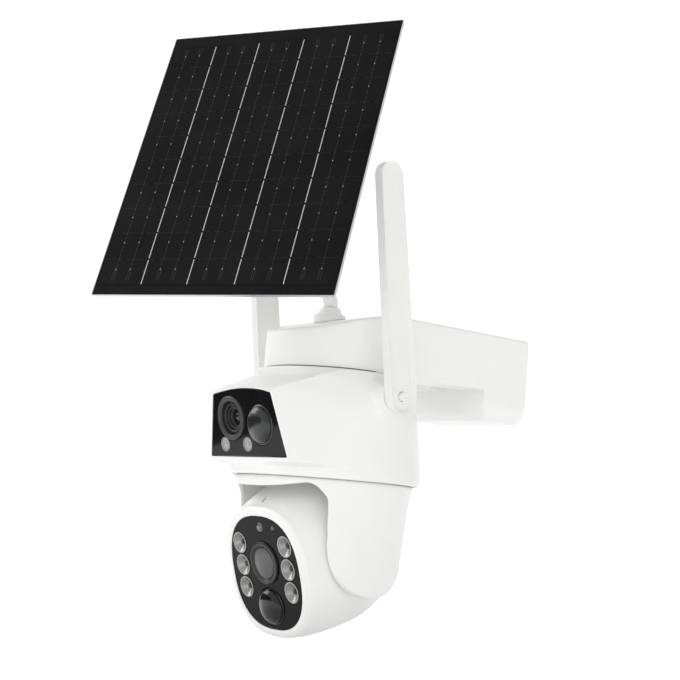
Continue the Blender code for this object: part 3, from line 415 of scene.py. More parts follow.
def offset(outline, d):
    """Outline moved inwards by d along its own normals (counter-clockwise)."""
    n = len(outline)
    out = []
    for i in range(n):
        p0, p1, p2 = outline[i - 1], outline[i], outline[(i + 1) % n]
        e0 = Vector((p1[0] - p0[0], p1[1] - p0[1]))
        e1 = Vector((p2[0] - p1[0], p2[1] - p1[1]))
        if e0.length < 1e-9 or e1.length < 1e-9:
            out.append(p1)
            continue
        n0 = Vector((-e0.y, e0.x)).normalized()
        n1 = Vector((-e1.y, e1.x)).normalized()
        b = n0 + n1
        if b.length < 1e-6:
            b = n0
        b.normalize()
        k = d / max(0.35, b.dot(n0))
        out.append((p1[0] + b.x * k, p1[1] + b.y * k))
    return out


def area(outline):
    return 0.5 * sum(a[0] * b[1] - b[0] * a[1] for a, b in zip(outline, outline[1:] + outline[:1]))


def slab(name, outline, z0, z1, matrix, r=0.5, n=3, r0=None):
    """An outline in local XY from z0 to z1, with rounded edges."""
    if area(outline) < 0:
        outline = outline[::-1]
    rings = []
    r0 = r if r0 is None else r0
    for k in range(n + 1):
        a = math.pi / 2 * k / n
        rings.append([(x, y, z0 + r0 * (1 - math.sin(a)))
                      for x, y in offset(outline, r0 * (1 - math.cos(a)))][:])
    rings[0:n + 1] = [[(x, y, z0 + r0 * (1 - math.cos(math.pi / 2 * k / n)))
                       for x, y in offset(outline, r0 * (1 - math.sin(math.pi / 2 * k / n)))]
                      for k in range(n + 1)]
    for k in range(n + 1):
        a = math.pi / 2 * k / n
        rings.append([(x, y, z1 - r * (1 - math.sin(math.pi / 2 - a)))
                      for x, y in offset(outline, r * (1 - math.cos(a)))])
    return loft(name, rings, matrix)


def arc(cx, cy, r, a0, a1, n):
    return [(cx + r * math.cos(rad(a0 + (a1 - a0) * i / n)),
             cy + r * math.sin(rad(a0 + (a1 - a0) * i / n))) for i in range(n + 1)]


def circle(cx, cy, r, n=48):
    return arc(cx, cy, r, 0, 360 * (n - 1) / n, n - 1)


def rounded_rect(w, h, r, n=8, cx=0.0, cy=0.0):
    pts = []
    for sx, sy, a in ((1, 1, 0), (-1, 1, 90), (-1, -1, 180), (1, -1, 270)):
        pts += arc(cx + sx * (w / 2 - r), cy + sy * (h / 2 - r), r, a, a + 90, n)
    return pts


def superellipse(a, b, p, n, cy=0.0):
    pts = []
    for i in range(n):
        t = math.tau * (i + 0.5) / n
        c, s = math.cos(t), math.sin(t)
        pts.append((a * math.copysign(abs(c) ** (2 / p), c),
                    cy + b * math.copysign(abs(s) ** (2 / p), s)))
    return pts


def boolean(ob, others, op="DIFFERENCE"):
    """Exact booleans, applied; the tools are removed."""
    for o in others:
        md = ob.modifiers.new("b", "BOOLEAN")
        md.operation = op
        md.solver = "EXACT"
        md.object = o
    apply(ob)
    for o in others:
        me = o.data
        bpy.data.objects.remove(o, do_unlink=True)
        bpy.data.meshes.remove(me)
    return ob


def apply(ob):
    bpy.context.view_layer.update()
    dg = bpy.context.evaluated_depsgraph_get()
    me = bpy.data.meshes.new_from_object(ob.evaluated_get(dg))
    old = ob.data
    ob.modifiers.clear()
    ob.data = me
    if old.users == 0:
        bpy.data.meshes.remove(old)
    return ob


def tidy(ob, dist=0.00004):
    bm = bmesh.new()
    bm.from_mesh(ob.data)
    bmesh.ops.remove_doubles(bm, verts=bm.verts, dist=dist)
    bmesh.ops.dissolve_degenerate(bm, edges=bm.edges, dist=dist * 0.5)
    bmesh.ops.recalc_face_normals(bm, faces=bm.faces)
    bm.to_mesh(ob.data)
    bm.free()
    return ob


def soften(ob, voxel=0.6, passes=6):
    """Even mesh with softly rounded edges, as a moulding has."""
    md = ob.modifiers.new("r", "REMESH")
    md.mode = "VOXEL"
    md.voxel_size = voxel * MM
    md.adaptivity = 0.0
    md.use_smooth_shade = True
    s = ob.modifiers.new("s", "SMOOTH")
    s.factor = 0.5
    s.iterations = passes
    return apply(ob)


def table_at(table, z):
    """Smooth value between the rows of a table (monotone cubic)."""
    zs = [t[0] for t in table]
    vs = [np.array(t[1:], float) for t in table]
    if z <= zs[0]:
        return vs[0]
    if z >= zs[-1]:
        return vs[-1]
    i = max(k for k in range(len(zs) - 1) if zs[k] <= z)
    h = zs[i + 1] - zs[i]
    d = [(vs[k + 1] - vs[k]) / (zs[k + 1] - zs[k]) for k in range(len(zs) - 1)]

    def slope(k):
        if k == 0:
            return d[0]
        if k == len(zs) - 1:
            return d[-1]
        a, b = d[k - 1], d[k]
        with np.errstate(divide="ignore", invalid="ignore"):
            hm = np.where(a * b > 0, 2 * a * b / (a + b), 0.0)
        return np.nan_to_num(hm)
    t = (z - zs[i]) / h
    m0, m1 = slope(i) * h, slope(i + 1) * h
    return ((2 * t ** 3 - 3 * t ** 2 + 1) * vs[i] + (t ** 3 - 2 * t ** 2 + t) * m0 +
            (-2 * t ** 3 + 3 * t ** 2) * vs[i + 1] + (t ** 3 - t ** 2) * m1)


# ----------------------------------------------------------------- wall arm
ARM_HALF, ARM_BOTTOM, ARM_TOP = 47.0, 72.9, 113.0
FOOT_FRONT, FOOT_BOTTOM, WALL_Y, WALL = 101.0, 51.5, 143.0, 2.5
ARM_TABLE = [(-47.5, 97.4), (-43.7, 98.3), (-35.7, 100.4), (-22.9, 104.4), (-12.0, 107.6),
             (-3.0, 109.8), (8.0, 111.8), (18.0, 112.7), (30.0, 113.0), (143.0, 113.0)]


def rear_ease(y, y_end=WALL_Y, r=2.2, run=3.2):
    t = (y - (y_end - run)) / run
    return 0.0 if t <= 0 else r * (1 - math.sqrt(max(0.0, 1 - min(1.0, t) ** 2)))


def arm_top(y):
    return float(table_at(ARM_TABLE, y)[0])


def arm_plan(inset, y_end, n=72, ease=False):
    r = ARM_HALF - inset
    nose = arc(0, 0, r, 270, 360, n // 2)               # front centre to right
    ys = [y_end * k / 14 for k in range(1, 13)] + [y_end - 3.2 * math.cos(rad(90) * k / 6) for k in range(7)]
    side = [(r - (rear_ease(y, y_end) if ease else 0.0), y) for y in ys]
    half = nose + side
    return half + [(-x, y) for x, y in reversed(half[1:])]


def arm_solid(name, inset, y_end, z_low, fillet, low=0.0, ease=False):
    rings = [[(x, y, z_low) for x, y in arm_plan(inset, y_end, ease=ease)]]

    def top(y):
        return arm_top(y) - inset - (rear_ease(y, y_end) if ease else 0.0)
    n_up = 6
    for k in range(1, n_up):
        f = k / n_up
        rings.append([(x, y, z_low + (top(y) - fillet - z_low) * f) for x, y in arm_plan(inset, y_end, ease=ease)])
    n_f = 7
    for k in range(n_f + 1):
        a = math.pi / 2 * k / n_f
        rings.append([(x, y, top(y) - fillet * (1 - math.sin(a)))
                      for x, y in arm_plan(inset + fillet * (1 - math.cos(a)), y_end, ease=ease)])
    # ladder caps need a first and last point that mirror each other
    rings = [r[1:] + r[:1] for r in rings]
    rings = [r[:-1] + [r[-1]] for r in rings]
    bm = bmesh.new()
    rows = [[bm.verts.new(Vector(p) * MM) for p in r] for r in rings]
    n = len(rows[0])
    for a, b in zip(rows, rows[1:]):
        for i in range(n):
            j = (i + 1) % n
            bm.faces.new((a[i], a[j], b[j], b[i]))
    for row in (rows[0], rows[-1]):
        # row[n-1] is the front centre; row[i] mirrors row[n-2-i]
        tip = row[n - 1]
        bm.faces.new((tip, row[0], row[n - 2]))
        for i in range((n - 2) // 2):
            q = (row[i], row[i + 1], row[n - 3 - i], row[n - 2 - i])
            if len(set(q)) == 4:
                bm.faces.new(q)
            elif len(set(q)) == 3:
                bm.faces.new(list(dict.fromkeys(q)))
    return from_bm(name, bm, Matrix.Translation(PAN))


def foot_solid(name, inset, y0, y1, r_low, soft, ease=False):
    """Block at the wall: sides rounded below, and a soft lower front edge."""
    w, z0, z1 = ARM_HALF - inset, FOOT_BOTTOM + inset, ARM_TOP - 12.0
    n = 8
    rings = [(y0 + soft * (1 - math.cos(rad(90) * k / n)), soft * (1 - math.sin(rad(90) * k / n))) for k in range(n + 1)]
    rows = []
    ends = [(y1 - 3.2 * math.cos(rad(90) * k / 6), 0.0) for k in range(7)] if ease else [(y1, 0.0)]
    for y, lift in rings + ends:
        x_in = min(1.2, lift * 0.2) + (rear_ease(y, y1) if ease else 0.0)
        lift += rear_ease(y, y1) if ease else 0.0
        out = [(w - x_in, z1), (-(w - x_in), z1)]
        out += arc(-(w - x_in) + r_low, z0 + lift + r_low, r_low, 180, 270, 14)
        out += arc((w - x_in) - r_low, z0 + lift + r_low, r_low, 270, 360, 14)
        rows.append([(x, y, z) for x, z in out])
    return loft(name, rows, Matrix.Translation(PAN))


arm = arm_solid("arm_shell", 0.0, WALL_Y, ARM_BOTTOM, 2.6, ease=True)
boolean(arm, [foot_solid("t_foot", 0.0, FOOT_FRONT, WALL_Y, 12.0, 7.0, ease=True)], "UNION")
hollow = arm_solid("t_arm_in", WALL, WALL_Y + 6, ARM_BOTTOM + WALL, 1.0)
boolean(hollow, [foot_solid("t_foot_in", WALL, FOOT_FRONT + WALL, WALL_Y + 6, 9.6, 4.5)], "UNION")
tools = [hollow]
tools.append(turned("t_neck", [(14, 60), (14, 80)], Matrix.Translation(PAN), 40))
tools.append(slab("t_port", rounded_rect(26.6, 14.6, 4.3), ARM_BOTTOM - 6, ARM_BOTTOM + 6,
                  Matrix.Translation(T(-14, 76, 0)), 0.01, 1))
tools.append(turned("t_button", [(4.3, ARM_BOTTOM - 6), (4.3, ARM_BOTTOM + 6)],
                    Matrix.Translation(T(14, 70, 0)), 40))
tools.append(turned("t_socket", [(5.4, ARM_BOTTOM - 6), (5.4, ARM_BOTTOM + 6)],
                    Matrix.Translation(T(14, 87, 0)), 40))
boolean(arm, tools)
tidy(arm, 0.00001)
finish_piece(arm, WHITE, "arm_housing", angle=34)

seam = turned("seam_ring", rounded([(46.2, 0.25), (46.2, -0.1), (40.0, -0.1), (40.0, 0.25)], 0.1, 2, True),
              Matrix.Translation(T(0, 0, 72.5)), 128, closed=True)
lip = turned("t_seam_lip", [(46.0, 72.45), (47.2, 72.45), (47.2, 73.3), (47.02, 73.3), (47.02, 72.8), (46.0, 72.8)],
             Matrix.Translation(PAN), 200, closed=True)
boolean(lip, [slab("t_front_half", [(-60, -60), (60, -60), (60, -0.6), (-60, -0.6)], 70, 76, Matrix.Translation(PAN), 0.01, 1)],
        "INTERSECT")
boolean(seam, [lip], "UNION")
finish_piece(seam, SEAL, "seam_gasket")

# under the arm
port = slab("port_flap", rounded_rect(26.0, 14.0, 4.0), ARM_BOTTOM - 0.4, ARM_BOTTOM + 2.6,
            Matrix.Translation(T(-14, 76, 0)), 0.4, 3, r0=0.5)
rib = slab("t_rib", rounded_rect(9.0, 1.4, 0.7), ARM_BOTTOM - 1.2, ARM_BOTTOM + 0.4,
           Matrix.Translation(T(-14, 79.6, 0)), 0.05, 2, r0=0.35)
boolean(port, [rib], "UNION")
finish_piece(port, RUBBER, "port_cover")
button = turned("power_key", rounded([(0, 3.4), (5.6, 3.4), (5.6, 2.8), (4.15, 2.8), (4.15, -0.35, 0.3),
                                      (2.6, -0.35), (1.6, -0.05), (0, 0.0)], 0.25, 4),
                Matrix.Translation(T(14, 70, ARM_BOTTOM)), 48)
finish_piece(button, RUBBER, "power_button")
socket = turned("socket_body", rounded([(0, 4.4), (5.1, 4.4), (5.1, -0.1), (6.4, -0.1), (6.4, -0.55, 0.3),
                                        (3.2, -0.55, 0.2), (3.2, 3.6), (0, 3.6)], 0.12, 4),
                Matrix.Translation(T(14, 87, ARM_BOTTOM)), 48)
finish_piece(socket, RUBBER, "charge_socket")

# --------------------------------------------------------------------- drum
DRUM = [(0.0, 64.2), (1.3, 65.0), (9.0, 64.8), (15.0, 64.3), (25.0, 63.0), (46.0, 60.0),
        (52.5, 58.2), (60.0, 56.0), (66.0, 54.1), (72.2, 51.8)]
DRUM_TOP = 72.2
WIN_Y, WIN_Z = -64.2, 10.5
WIN_LOW, WIN_HIGH, WIN_H = 42.9, 32.7, 42.0
WIN_LEAN, WIN_CROWN = 13.9, 3.2
LEAN = math.tan(rad(WIN_LEAN))
WIN_TOP_Z = WIN_Z + WIN_H * math.cos(rad(WIN_LEAN))
RIDGE = [(WIN_TOP_Z, 33.4, -75.2, 0.0), (WIN_TOP_Z + 3.2, 34.4, -71.6, 2.6),
         (58.5, 36.6, -62.5, 3.4), (63.1, 40.0, -50.0, 4.0),
         (66.5, 42.3, -42.0, 6.0), (DRUM_TOP, 45.2, -25.3, 0.0)]


def lin(table, z):
    for a, b in zip(table, table[1:]):
        if z <= b[0]:
            f = max(0.0, (z - a[0]) / (b[0] - a[0]))
            return [p + (q - p) * f for p, q in zip(a[1:], b[1:])]
    return list(table[-1][1:])


def hood(z):
    if z <= WIN_TOP_Z:
        f = (z - WIN_Z) / (WIN_TOP_Z - WIN_Z)
        return (WIN_LOW + 0.9 + (WIN_HIGH - WIN_LOW) * f, WIN_Y - (z - WIN_Z) * LEAN - 0.3, 0.0)
    return tuple(lin(RIDGE, z))


def drum_section(z, inset=0.0, bulge=1.0, at_z=None, corner_r=0.0, smooth_r=None):
    r = (float(table_at(DRUM, z)[0]) if smooth_r is None else smooth_r) - inset
    hx, hy, crown = hood(max(z, WIN_Z))
    hx, hy = hx - inset, hy + inset
    n_front, n_side, n_back = 32, 14, 120
    a_plain = math.atan2(hx, -hy)
    d = math.hypot(hx, hy)
    a_tan = a_plain + (math.acos(min(1.0, r / d)) if d > r else 0.0)
    if 66.5 < z < DRUM_TOP and at_z is None:
        f = (z - 66.5) / (DRUM_TOP - 66.5)
        lo = drum_section(66.5, inset, bulge)
        hi = drum_section(DRUM_TOP, inset, bulge)
        k = 1.0 if smooth_r is None else (smooth_r - inset) / float(table_at(DRUM, z)[0])
        return [((a[0] + (b[0] - a[0]) * f) * k, (a[1] + (b[1] - a[1]) * f) * k, z) for a, b in zip(lo, hi)]
    out = []
    for i in range(n_front + 1):
        u = -1 + 2 * i / n_front
        fx, fy = u * hx, hy - crown * (1 - u * u)
        a = a_plain * u
        px, py = r * math.sin(a), -r * math.cos(a)
        if d <= r + 0.01 or z >= DRUM_TOP - 0.01:
            fx, fy = px, py
        out.append((px + (fx - px) * bulge, py + (fy - py) * bulge))
    corner = out[-1]
    tx, ty = r * math.sin(a_tan), -r * math.cos(a_tan)
    side = []
    for i in range(1, n_side + 1):
        f = (i / n_side)
        lx, ly = corner[0] + (tx - corner[0]) * f, corner[1] + (ty - corner[1]) * f
        a = a_plain + (a_tan - a_plain) * f
        px, py = r * math.sin(a), -r * math.cos(a)
        side.append((px + (lx - px) * bulge, py + (ly - py) * bulge))
    out += side
    for i in range(1, n_back):
        a = a_tan + (math.tau - 2 * a_tan) * i / n_back
        out.append((r * math.sin(a), -r * math.cos(a)))
    out += [(-x, y) for x, y in reversed(side)]
    zz = z if at_z is None else at_z
    return [(x, y, zz) for x, y in out]


def smooth_bulge(z):
    t = max(0.0, min(1.0, (z - 5.5) / (8.3 - 5.5)))
    return t * t * (3 - 2 * t) if t < 1 else 1.0


levels = [0.0, 0.12, 0.4, 0.8, 1.3, 3.0, 5.5, 6.2, 6.8, 7.3, 7.7, 8.0, 8.3, 8.6, 9.0, 10.5, 13, 16, 20, 25, 30, 35,
          40, 44, 48, WIN_TOP_Z - 0.6, WIN_TOP_Z, WIN_TOP_Z + 0.5, WIN_TOP_Z + 1.2, WIN_TOP_Z + 2.2,
          WIN_TOP_Z + 3.2, 56.0, 57.4, 58.5, 60, 61.6, 63.1, 64.8, 66.5, 68.0, 69.4, 70.5, 71.3, 71.8, 72.1, DRUM_TOP]
rings = []
for z in levels:
    if z < 1.3:
        t = z / 1.3
        rr_ = 63.6 + 1.4 * math.sqrt(max(0.0, 1 - (1 - t) ** 2))
        rings.append(drum_section(z, 0, 0, smooth_r=rr_))
    elif z > 71.0:
        t = (z - 71.0) / 1.2
        rr_ = float(table_at(DRUM, z)[0]) - 1.2 * (1 - math.sqrt(max(0.0, 1 - t * t)))
        rings.append(drum_section(min(z, DRUM_TOP - 0.02) if z < DRUM_TOP else z, 0, 1, smooth_r=rr_))
    else:
        rings.append(drum_section(z, 0, smooth_bulge(z)))
drum = loft("drum_shell", rings, Matrix.Translation(PAN))
for side in (1, -1):
    boss = turned("t_boss", rounded([(0, 6.5), (10.0, 6.5, 0.5), (10.3, 5.2, 1.0), (10.6, 0.5, 5.0), (11.8, -5.0, 5.0), (14.5, -9.0), (0, -9.0)], 0.3, 8),
                  Matrix.Translation(T(side * 60.6, 0.5, 56)) @ Matrix.Rotation(rad(90 * side), 4, "Y"), 96)
    boolean(drum, [boss], "UNION")
inner = [drum_section(z, WALL, b, at_z) for z, b, at_z in
         ((0.0, 0, -6.0), (1.3, 0, 3.0), (8.0, 0, 10.9), (9.4, 1, 11.5), (25, 1, 25), (46, 1, 45),
          (WIN_TOP_Z, 1, WIN_TOP_Z - 1.6), (58.5, 1, 56.0), (66.5, 1, 64.0), (71.6, 1, 69.4))]
drum_in = loft("t_drum_in", inner, Matrix.Translation(PAN))
neck = turned("t_drum_neck", [(14, DRUM_TOP - 6), (14, DRUM_TOP + 6)], Matrix.Translation(PAN), 40)

WIN = frame_at(T(0, WIN_Y, WIN_Z), WIN_LEAN) @ OUT      # local XY in the glass, Z out


def window_outline(grow, corner=0.8):
    top = [(WIN_HIGH + grow, WIN_H + grow * 0.6, corner)]
    top += [(u * (WIN_HIGH + grow), WIN_H + grow * 0.6 + WIN_CROWN * (1 - u * u), 0)
            for u in [0.95 - 0.1 * k for k in range(20)]]
    top += [(-WIN_HIGH - grow, WIN_H + grow * 0.6, corner)]
    pts = [(-WIN_LOW - grow, -grow, corner), (WIN_LOW + grow, -grow, corner)] + top
    return rounded(pts, 0.0, 4, True)


def dense(outline, step=2.2):
    out = []
    for a, b in zip(outline, outline[1:] + outline[:1]):
        n = max(1, int(math.hypot(b[0] - a[0], b[1] - a[1]) / step))
        out += [(a[0] + (b[0] - a[0]) * k / n, a[1] + (b[1] - a[1]) * k / n) for k in range(n)]
    return out


win_cut = loft("t_win", [[(x, y, z) for x, y in dense(window_outline(0.0))] for z in (-8.0, -0.9, 6.0)], WIN)
bores = [turned("t_bore", [(3.3, -8), (3.3, 8)],
                Matrix.Translation(T(s * 61, 0.5, 56)) @ Matrix.Rotation(rad(90), 4, "Y"), 32) for s in (1, -1)]
boolean(drum, [drum_in, neck, win_cut] + bores)
tidy(drum, 0.00001)
finish_piece(drum, WHITE, "drum_housing", angle=30)

# window panel with its holes
WIN_LENS, WIN_PIR = (-14.3, 25.8), (17.0, 21.0)
WIN_LEDS = [(-24.8, 8.2), (0.8, 8.3)]
glass = slab("window_panel", dense(window_outline(-0.35)), -2.2, 0.0, WIN, 0.25, 3, r0=0.1)


def hole_tool(frame_m, u, v, r, z0=-8.0, z1=4.0, segs=64):
    return turned("t_hole", [(r, z0), (r, z1)], frame_m @ Matrix.Translation((u * MM, v * MM, 0)), segs)


boolean(glass, [hole_tool(WIN, *WIN_LENS, 15.0, segs=96), hole_tool(WIN, *WIN_PIR, 13.6, segs=96)] +
        [hole_tool(WIN, u, v, 5.0) for u, v in WIN_LEDS])
finish_piece(glass, GLOSS_BLACK, "upper_window", angle=30)


def at_face(frame_m, uv):
    return frame_m @ Matrix.Translation((uv[0] * MM, uv[1] * MM, 0))


bz = turned("wide_lens_ring", rounded(
    [(14.7, -7.0), (14.7, 0.9, 0.5), (13.8, 1.3, 0.4), (12.5, 1.25, 0.2), (12.1, 0.8, 0.2), (11.5, 0.6, 0.25),
     (11.2, -0.2, 0.2), (11.2, -3.4), (9.95, -3.6), (9.95, -5.2), (13.0, -7.0)], 0.15, 4, True),
    at_face(WIN, WIN_LENS), 128, closed=True)
finish_piece(bz, RING, "wide_lens_bezel", angle=50)
br = turned("wide_lens_steps", rounded(
    [(9.6, -3.6), (9.6, -0.9, 0.25), (8.5, -0.8, 0.25), (8.1, -2.2, 0.15), (7.9, -3.2, 0.1), (7.4, -3.2, 0.1),
     (7.3, -2.3, 0.2), (6.5, -2.3, 0.2), (6.2, -4.2, 0.15), (5.7, -4.3, 0.15), (5.25, -5.3, 0.1), (5.2, -20.0),
     (9.0, -20.0), (9.0, -7.0)], 0.1, 3, True), at_face(WIN, WIN_LENS), 96, closed=True)
finish_piece(br, LENS_TUBE, "wide_lens_barrel", angle=50)
gl = turned("wide_lens_element", [(0, -4.2)] + [(4.9 * k / 10, -4.2 - 2.8 * (k / 10) ** 2) for k in range(1, 11)] +
            [(4.9, -9.0), (0, -9.0)], at_face(WIN, WIN_LENS), 64)
finish_piece(gl, LENS_DARK, "wide_lens_glass", angle=50)


def pir_profile(r, h, edge, t=1.3):
    out = []
    n = 14
    for k in range(n + 1):
        a = rad(90) * k / n
        out.append((r * 0.93 * math.sin(a), (h - edge) * math.cos(a) ** 1.0 + edge))
    out = [(x, z) for x, z in out]
    out += [(r * 0.97, edge - 0.15), (r, edge - 0.4), (r, edge - 2.2), (r * 0.9, edge - 1.2)]
    out += [(r * 0.9 * math.cos(rad(90) * k / 8) * 0.95, (h - t - edge + 1.2) * math.sin(rad(90) * k / 8) + edge - 1.2)
            for k in range(1, 8)]
    out.append((0, h - t))
    return out


pd = turned("upper_motion_lens", pir_profile(13.2, 5.2, -0.1), at_face(WIN, WIN_PIR), 96)
finish_piece(pd, PIR, "upper_pir_lens", angle=50)
for i, uv in enumerate(WIN_LEDS):
    led = turned("spot_lens_%d" % (i + 1), rounded(
        [(0, 0.1), (1.2, 0.0), (1.9, -0.3), (2.0, -0.6), (2.9, -0.75), (3.1, -0.4), (3.9, -0.15, 0.2), (4.0, -0.7, 0.15),
         (4.3, -0.7, 0.15), (4.45, 0.2, 0.15), (4.75, 0.2, 0.2), (4.75, -4.0), (0, -4.0)], 0.12, 3), at_face(WIN, uv), 64)
    finish_piece(led, LED_LENS, "spot_led_%d" % (i + 1), angle=40)

base = turned("lower_ring", rounded([(60.8, 3.4), (60.8, 0.15, 0.3), (58.3, 0.15, 0.3), (58.3, 3.4)], 0.15, 3, True),
              Matrix.Translation(PAN), 160, closed=True)
finish_piece(base, WHITE, "base_ring")

# --------------------------------------------------------------------- yoke
BAND, F, HALF_TOP, ARC_R, CHANNEL = -7.4, 9.0, 35.4, 34.0, 48.1
TY, TZ = 2.0, -40.0
yoke = turned("yoke_shell", rounded(
    [(0, 15.2), (57.6, 15.2), (57.6, 7.2), (59.9, 7.2), (59.9, 3.8), (57.7, 3.8), (57.7, -0.2), (60.4, -0.2),
     (60.6, -0.8), (60.2, -8.0), (59.0, -26.0), (58.0, -42.0), (56.4, -76.0), (0, -76.0)], 0.2, 2),
    Matrix.Translation(PAN), 220)
side = [(-70, 20), (-70, BAND), (TY - HALF_TOP - F, BAND)]
side += arc(TY - HALF_TOP - F, BAND - F, F, 90, 0, 16)[1:]
side += arc(TY, TZ - 0.5, ARC_R, 180, 360, 64)
side += arc(TY + HALF_TOP + F, BAND - F, F, 180, 90, 16)
side += [(70, BAND), (70, 20)]
UPRIGHT = Matrix.Translation(PAN) @ Matrix.Rotation(rad(90), 4, "Z") @ Matrix.Rotation(rad(90), 4, "X")


def prism(name, outline, z0, z1, matrix):
    return loft(name, [[(x, y, z0) for x, y in outline], [(x, y, z1) for x, y in outline]], matrix)


boolean(yoke, [prism("t_side", dense(side, 3.0), -70, 70, UPRIGHT)], "INTERSECT")
R_IN = 57.3
a_in = math.degrees(math.asin(CHANNEL / R_IN))
FRONTAL = Matrix.Translation(PAN) @ Matrix.Rotation(rad(90), 4, "X")     # local XY to XZ
arch = [(u * 39.0, -7.5 + 4.0 * abs(u) ** 2.2) for u in [k / 20 for k in range(21)]]
arch += [(39.0 + (CHANNEL - 39.0) * math.sin(rad(q)), -16.0 + 12.5 * math.cos(rad(q))) for q in range(6, 91, 6)]
arch += [(CHANNEL, -90.0)]
box_out = arch + [(-x, z) for x, z in reversed(arch[1:])]
bay_out = arc(0, 0, R_IN, -90 - a_in, -90 + a_in, 48) + arc(0, 0, R_IN, 90 - a_in, 90 + a_in, 48)
boolean(yoke, [prism("t_channel", dense(box_out, 3.0), -80, 80, FRONTAL),
               prism("t_bay", bay_out, -20.0, 12.2, Matrix.Translation(PAN)),
               turned("t_hub", [(8.5, 4), (8.5, 24)], Matrix.Translation(PAN), 40)] +
        [turned("t_pocket", [(20.5, -3.0), (20.5, 3.0)], Matrix.Translation(T(s * (CHANNEL), TY, TZ)) @
                Matrix.Rotation(rad(90), 4, "Y"), 64) for s in (1, -1)])
soften(yoke, 0.82, 4)
finish_piece(yoke, WHITE, "yoke_housing", angle=0)

# --------------------------------------------------------------------- head
HEADF = Matrix.Translation(TILT) @ Matrix.Rotation(rad(17.2), 4, "X")
HEAD = [(-49.6, 6.0, 5.2, -7.2, 2.0), (-48.0, 14.6, 13.8, -16.6, 2.0), (-44.0, 24.4, 23.4, -27.8, 2.0),
        (-38.0, 32.6, 32.0, -37.6, 2.05), (-30.0, 39.6, 39.6, -46.0, 2.1), (-20.0, 44.6, 45.6, -52.0, 2.15),
        (-10.0, 46.6, 48.6, -55.2, 2.2), (0.0, 47.3, 49.0, -56.8, 2.25), (14.0, 47.4, 47.0, -57.2, 2.3),
        (28.0, 47.1, 43.4, -56.7, 2.35), (38.0, 46.2, 39.4, -55.6, 2.4), (46.5, 44.3, 34.8, -53.8, 2.45)]
SPLIT = -20.0
NH = 168


def head_ring(s, inset=0.0, n=NH, grow=None):
    a, vt, vb, p = [float(k) for k in table_at(HEAD, s)]
    c, b = (vt + vb) / 2, (vt - vb) / 2
    return [(x, -s, v) for x, v in superellipse(a - inset, b - inset, p, n, c)]


def mix_ring(ra, rb, f):
    return [tuple(p + (q - p) * f for p, q in zip(u, v)) for u, v in zip(ra, rb)]


def face_ring(s, grow, n=NH):
    return [(x, -s, v) for x, v in superellipse(36.7 + grow, 38.0 + grow, 2.5, n, -9.7)]


# front shell: outer skin, rounded lip round the face, recess, hollow inside
rings = []
ss = [SPLIT + 0.15, SPLIT + 0.25, SPLIT + 0.5, SPLIT + 1.0] + [float(k) for k in np.linspace(SPLIT + 3, 46.5, 24)]
for k, s in enumerate(ss):
    rings.append(head_ring(s, (0.45, 0.2, 0.05, 0.0)[k] if k < 4 else 0.0))
lip_out = head_ring(46.5)
lip_in = face_ring(49.6, 0.55)
for k in range(1, 9):                       # quarter turn onto the front edge
    a = rad(90) * k / 8
    base_r = mix_ring(lip_out, lip_in, 0.78 * (1 - math.cos(a)))
    rings.append([(x, -(46.5 + 3.1 * math.sin(a)), v) for x, y, v in base_r])
flat = mix_ring(lip_out, lip_in, 1.0)
rings.append([(x, -49.6, v) for x, y, v in mix_ring(lip_out, lip_in, 0.93)])
rings.append([(x, -49.55, v) for x, y, v in face_ring(49.6, 0.5)])
rings.append(face_ring(49.4, 0.34))
rings.append(face_ring(49.1, 0.3))
rings.append(face_ring(47.0, 0.3))
rings.append(face_ring(46.9, -2.2))
rings.append(face_ring(43.5, -2.4))
for s in [43.0, 38.0, 28.0, 14.0, 0.0, -10.0, SPLIT + 0.15]:
    rings.append(head_ring(s, 2.4 if s < 42 else 6.0))
bm_rings = rings
bm = bmesh.new()
rows = [[bm.verts.new(Vector(p) * MM) for p in r] for r in rings]
for a, b in list(zip(rows, rows[1:])) + [(rows[-1], rows[0])]:
    for i in range(NH):
        j = (i + 1) % NH
        bm.faces.new((a[i], a[j], b[j], b[i]))
head = from_bm("head_front", bm, HEADF)
tools = [turned("t_hb", [(8.5, -7), (8.5, 7)], HEADF @ Matrix.Translation((s * 46 * MM, 0, 0)) @
                Matrix.Rotation(rad(90), 4, "Y"), 48) for s in (1, -1)]
tools.append(slab("t_mic", rounded_rect(1.9, 5.2, 0.95, 6), -7.0, 4,
                  HEADF @ Matrix.Translation((0, -41.4 * MM, 37.5 * MM)) @ Matrix.Rotation(rad(28), 4, "X"), 0.01, 1))
boolean(head, tools)
tidy(head, 0.00001)
finish_piece(head, WHITE, "head_front_shell", angle=36)

rings = []
ss = [SPLIT - 0.15, SPLIT - 0.25, SPLIT - 0.5, SPLIT - 1.0] + [float(k) for k in np.linspace(SPLIT - 3, -47, 16)] + \
    [-48.0, -48.7, -49.2, -49.6]
for k, s in enumerate(ss):
    rings.append(head_ring(s, (0.45, 0.2, 0.05, 0.0)[k] if k < 4 else 0.0))
rings = [r for r in rings]
tail = [[(x * f, 49.6 + d, v * f - 1.0 * (1 - f)) for x, y, v in rings[-1]] for f, d in ((0.6, 0.2), (0.15, 0.28))]
rings = rings + tail
inner = []
for s in [-46.0, -43.0, -38.0, -30.0, SPLIT - 0.15]:
    inner.append(head_ring(s + (1.2 if s < -37 else 0.0), 2.6))
bm = bmesh.new()
rows = [[bm.verts.new(Vector(p) * MM) for p in r] for r in rings]
irow = [[bm.verts.new(Vector(p) * MM) for p in r] for r in inner]
for grp in (rows, irow):
    for a, b in zip(grp, grp[1:]):
        for i in range(NH):
            j = (i + 1) % NH
            bm.faces.new((a[i], a[j], b[j], b[i]))
for i in range(NH):
    j = (i + 1) % NH
    bm.faces.new((rows[0][i], irow[-1][i], irow[-1][j], rows[0][j]))
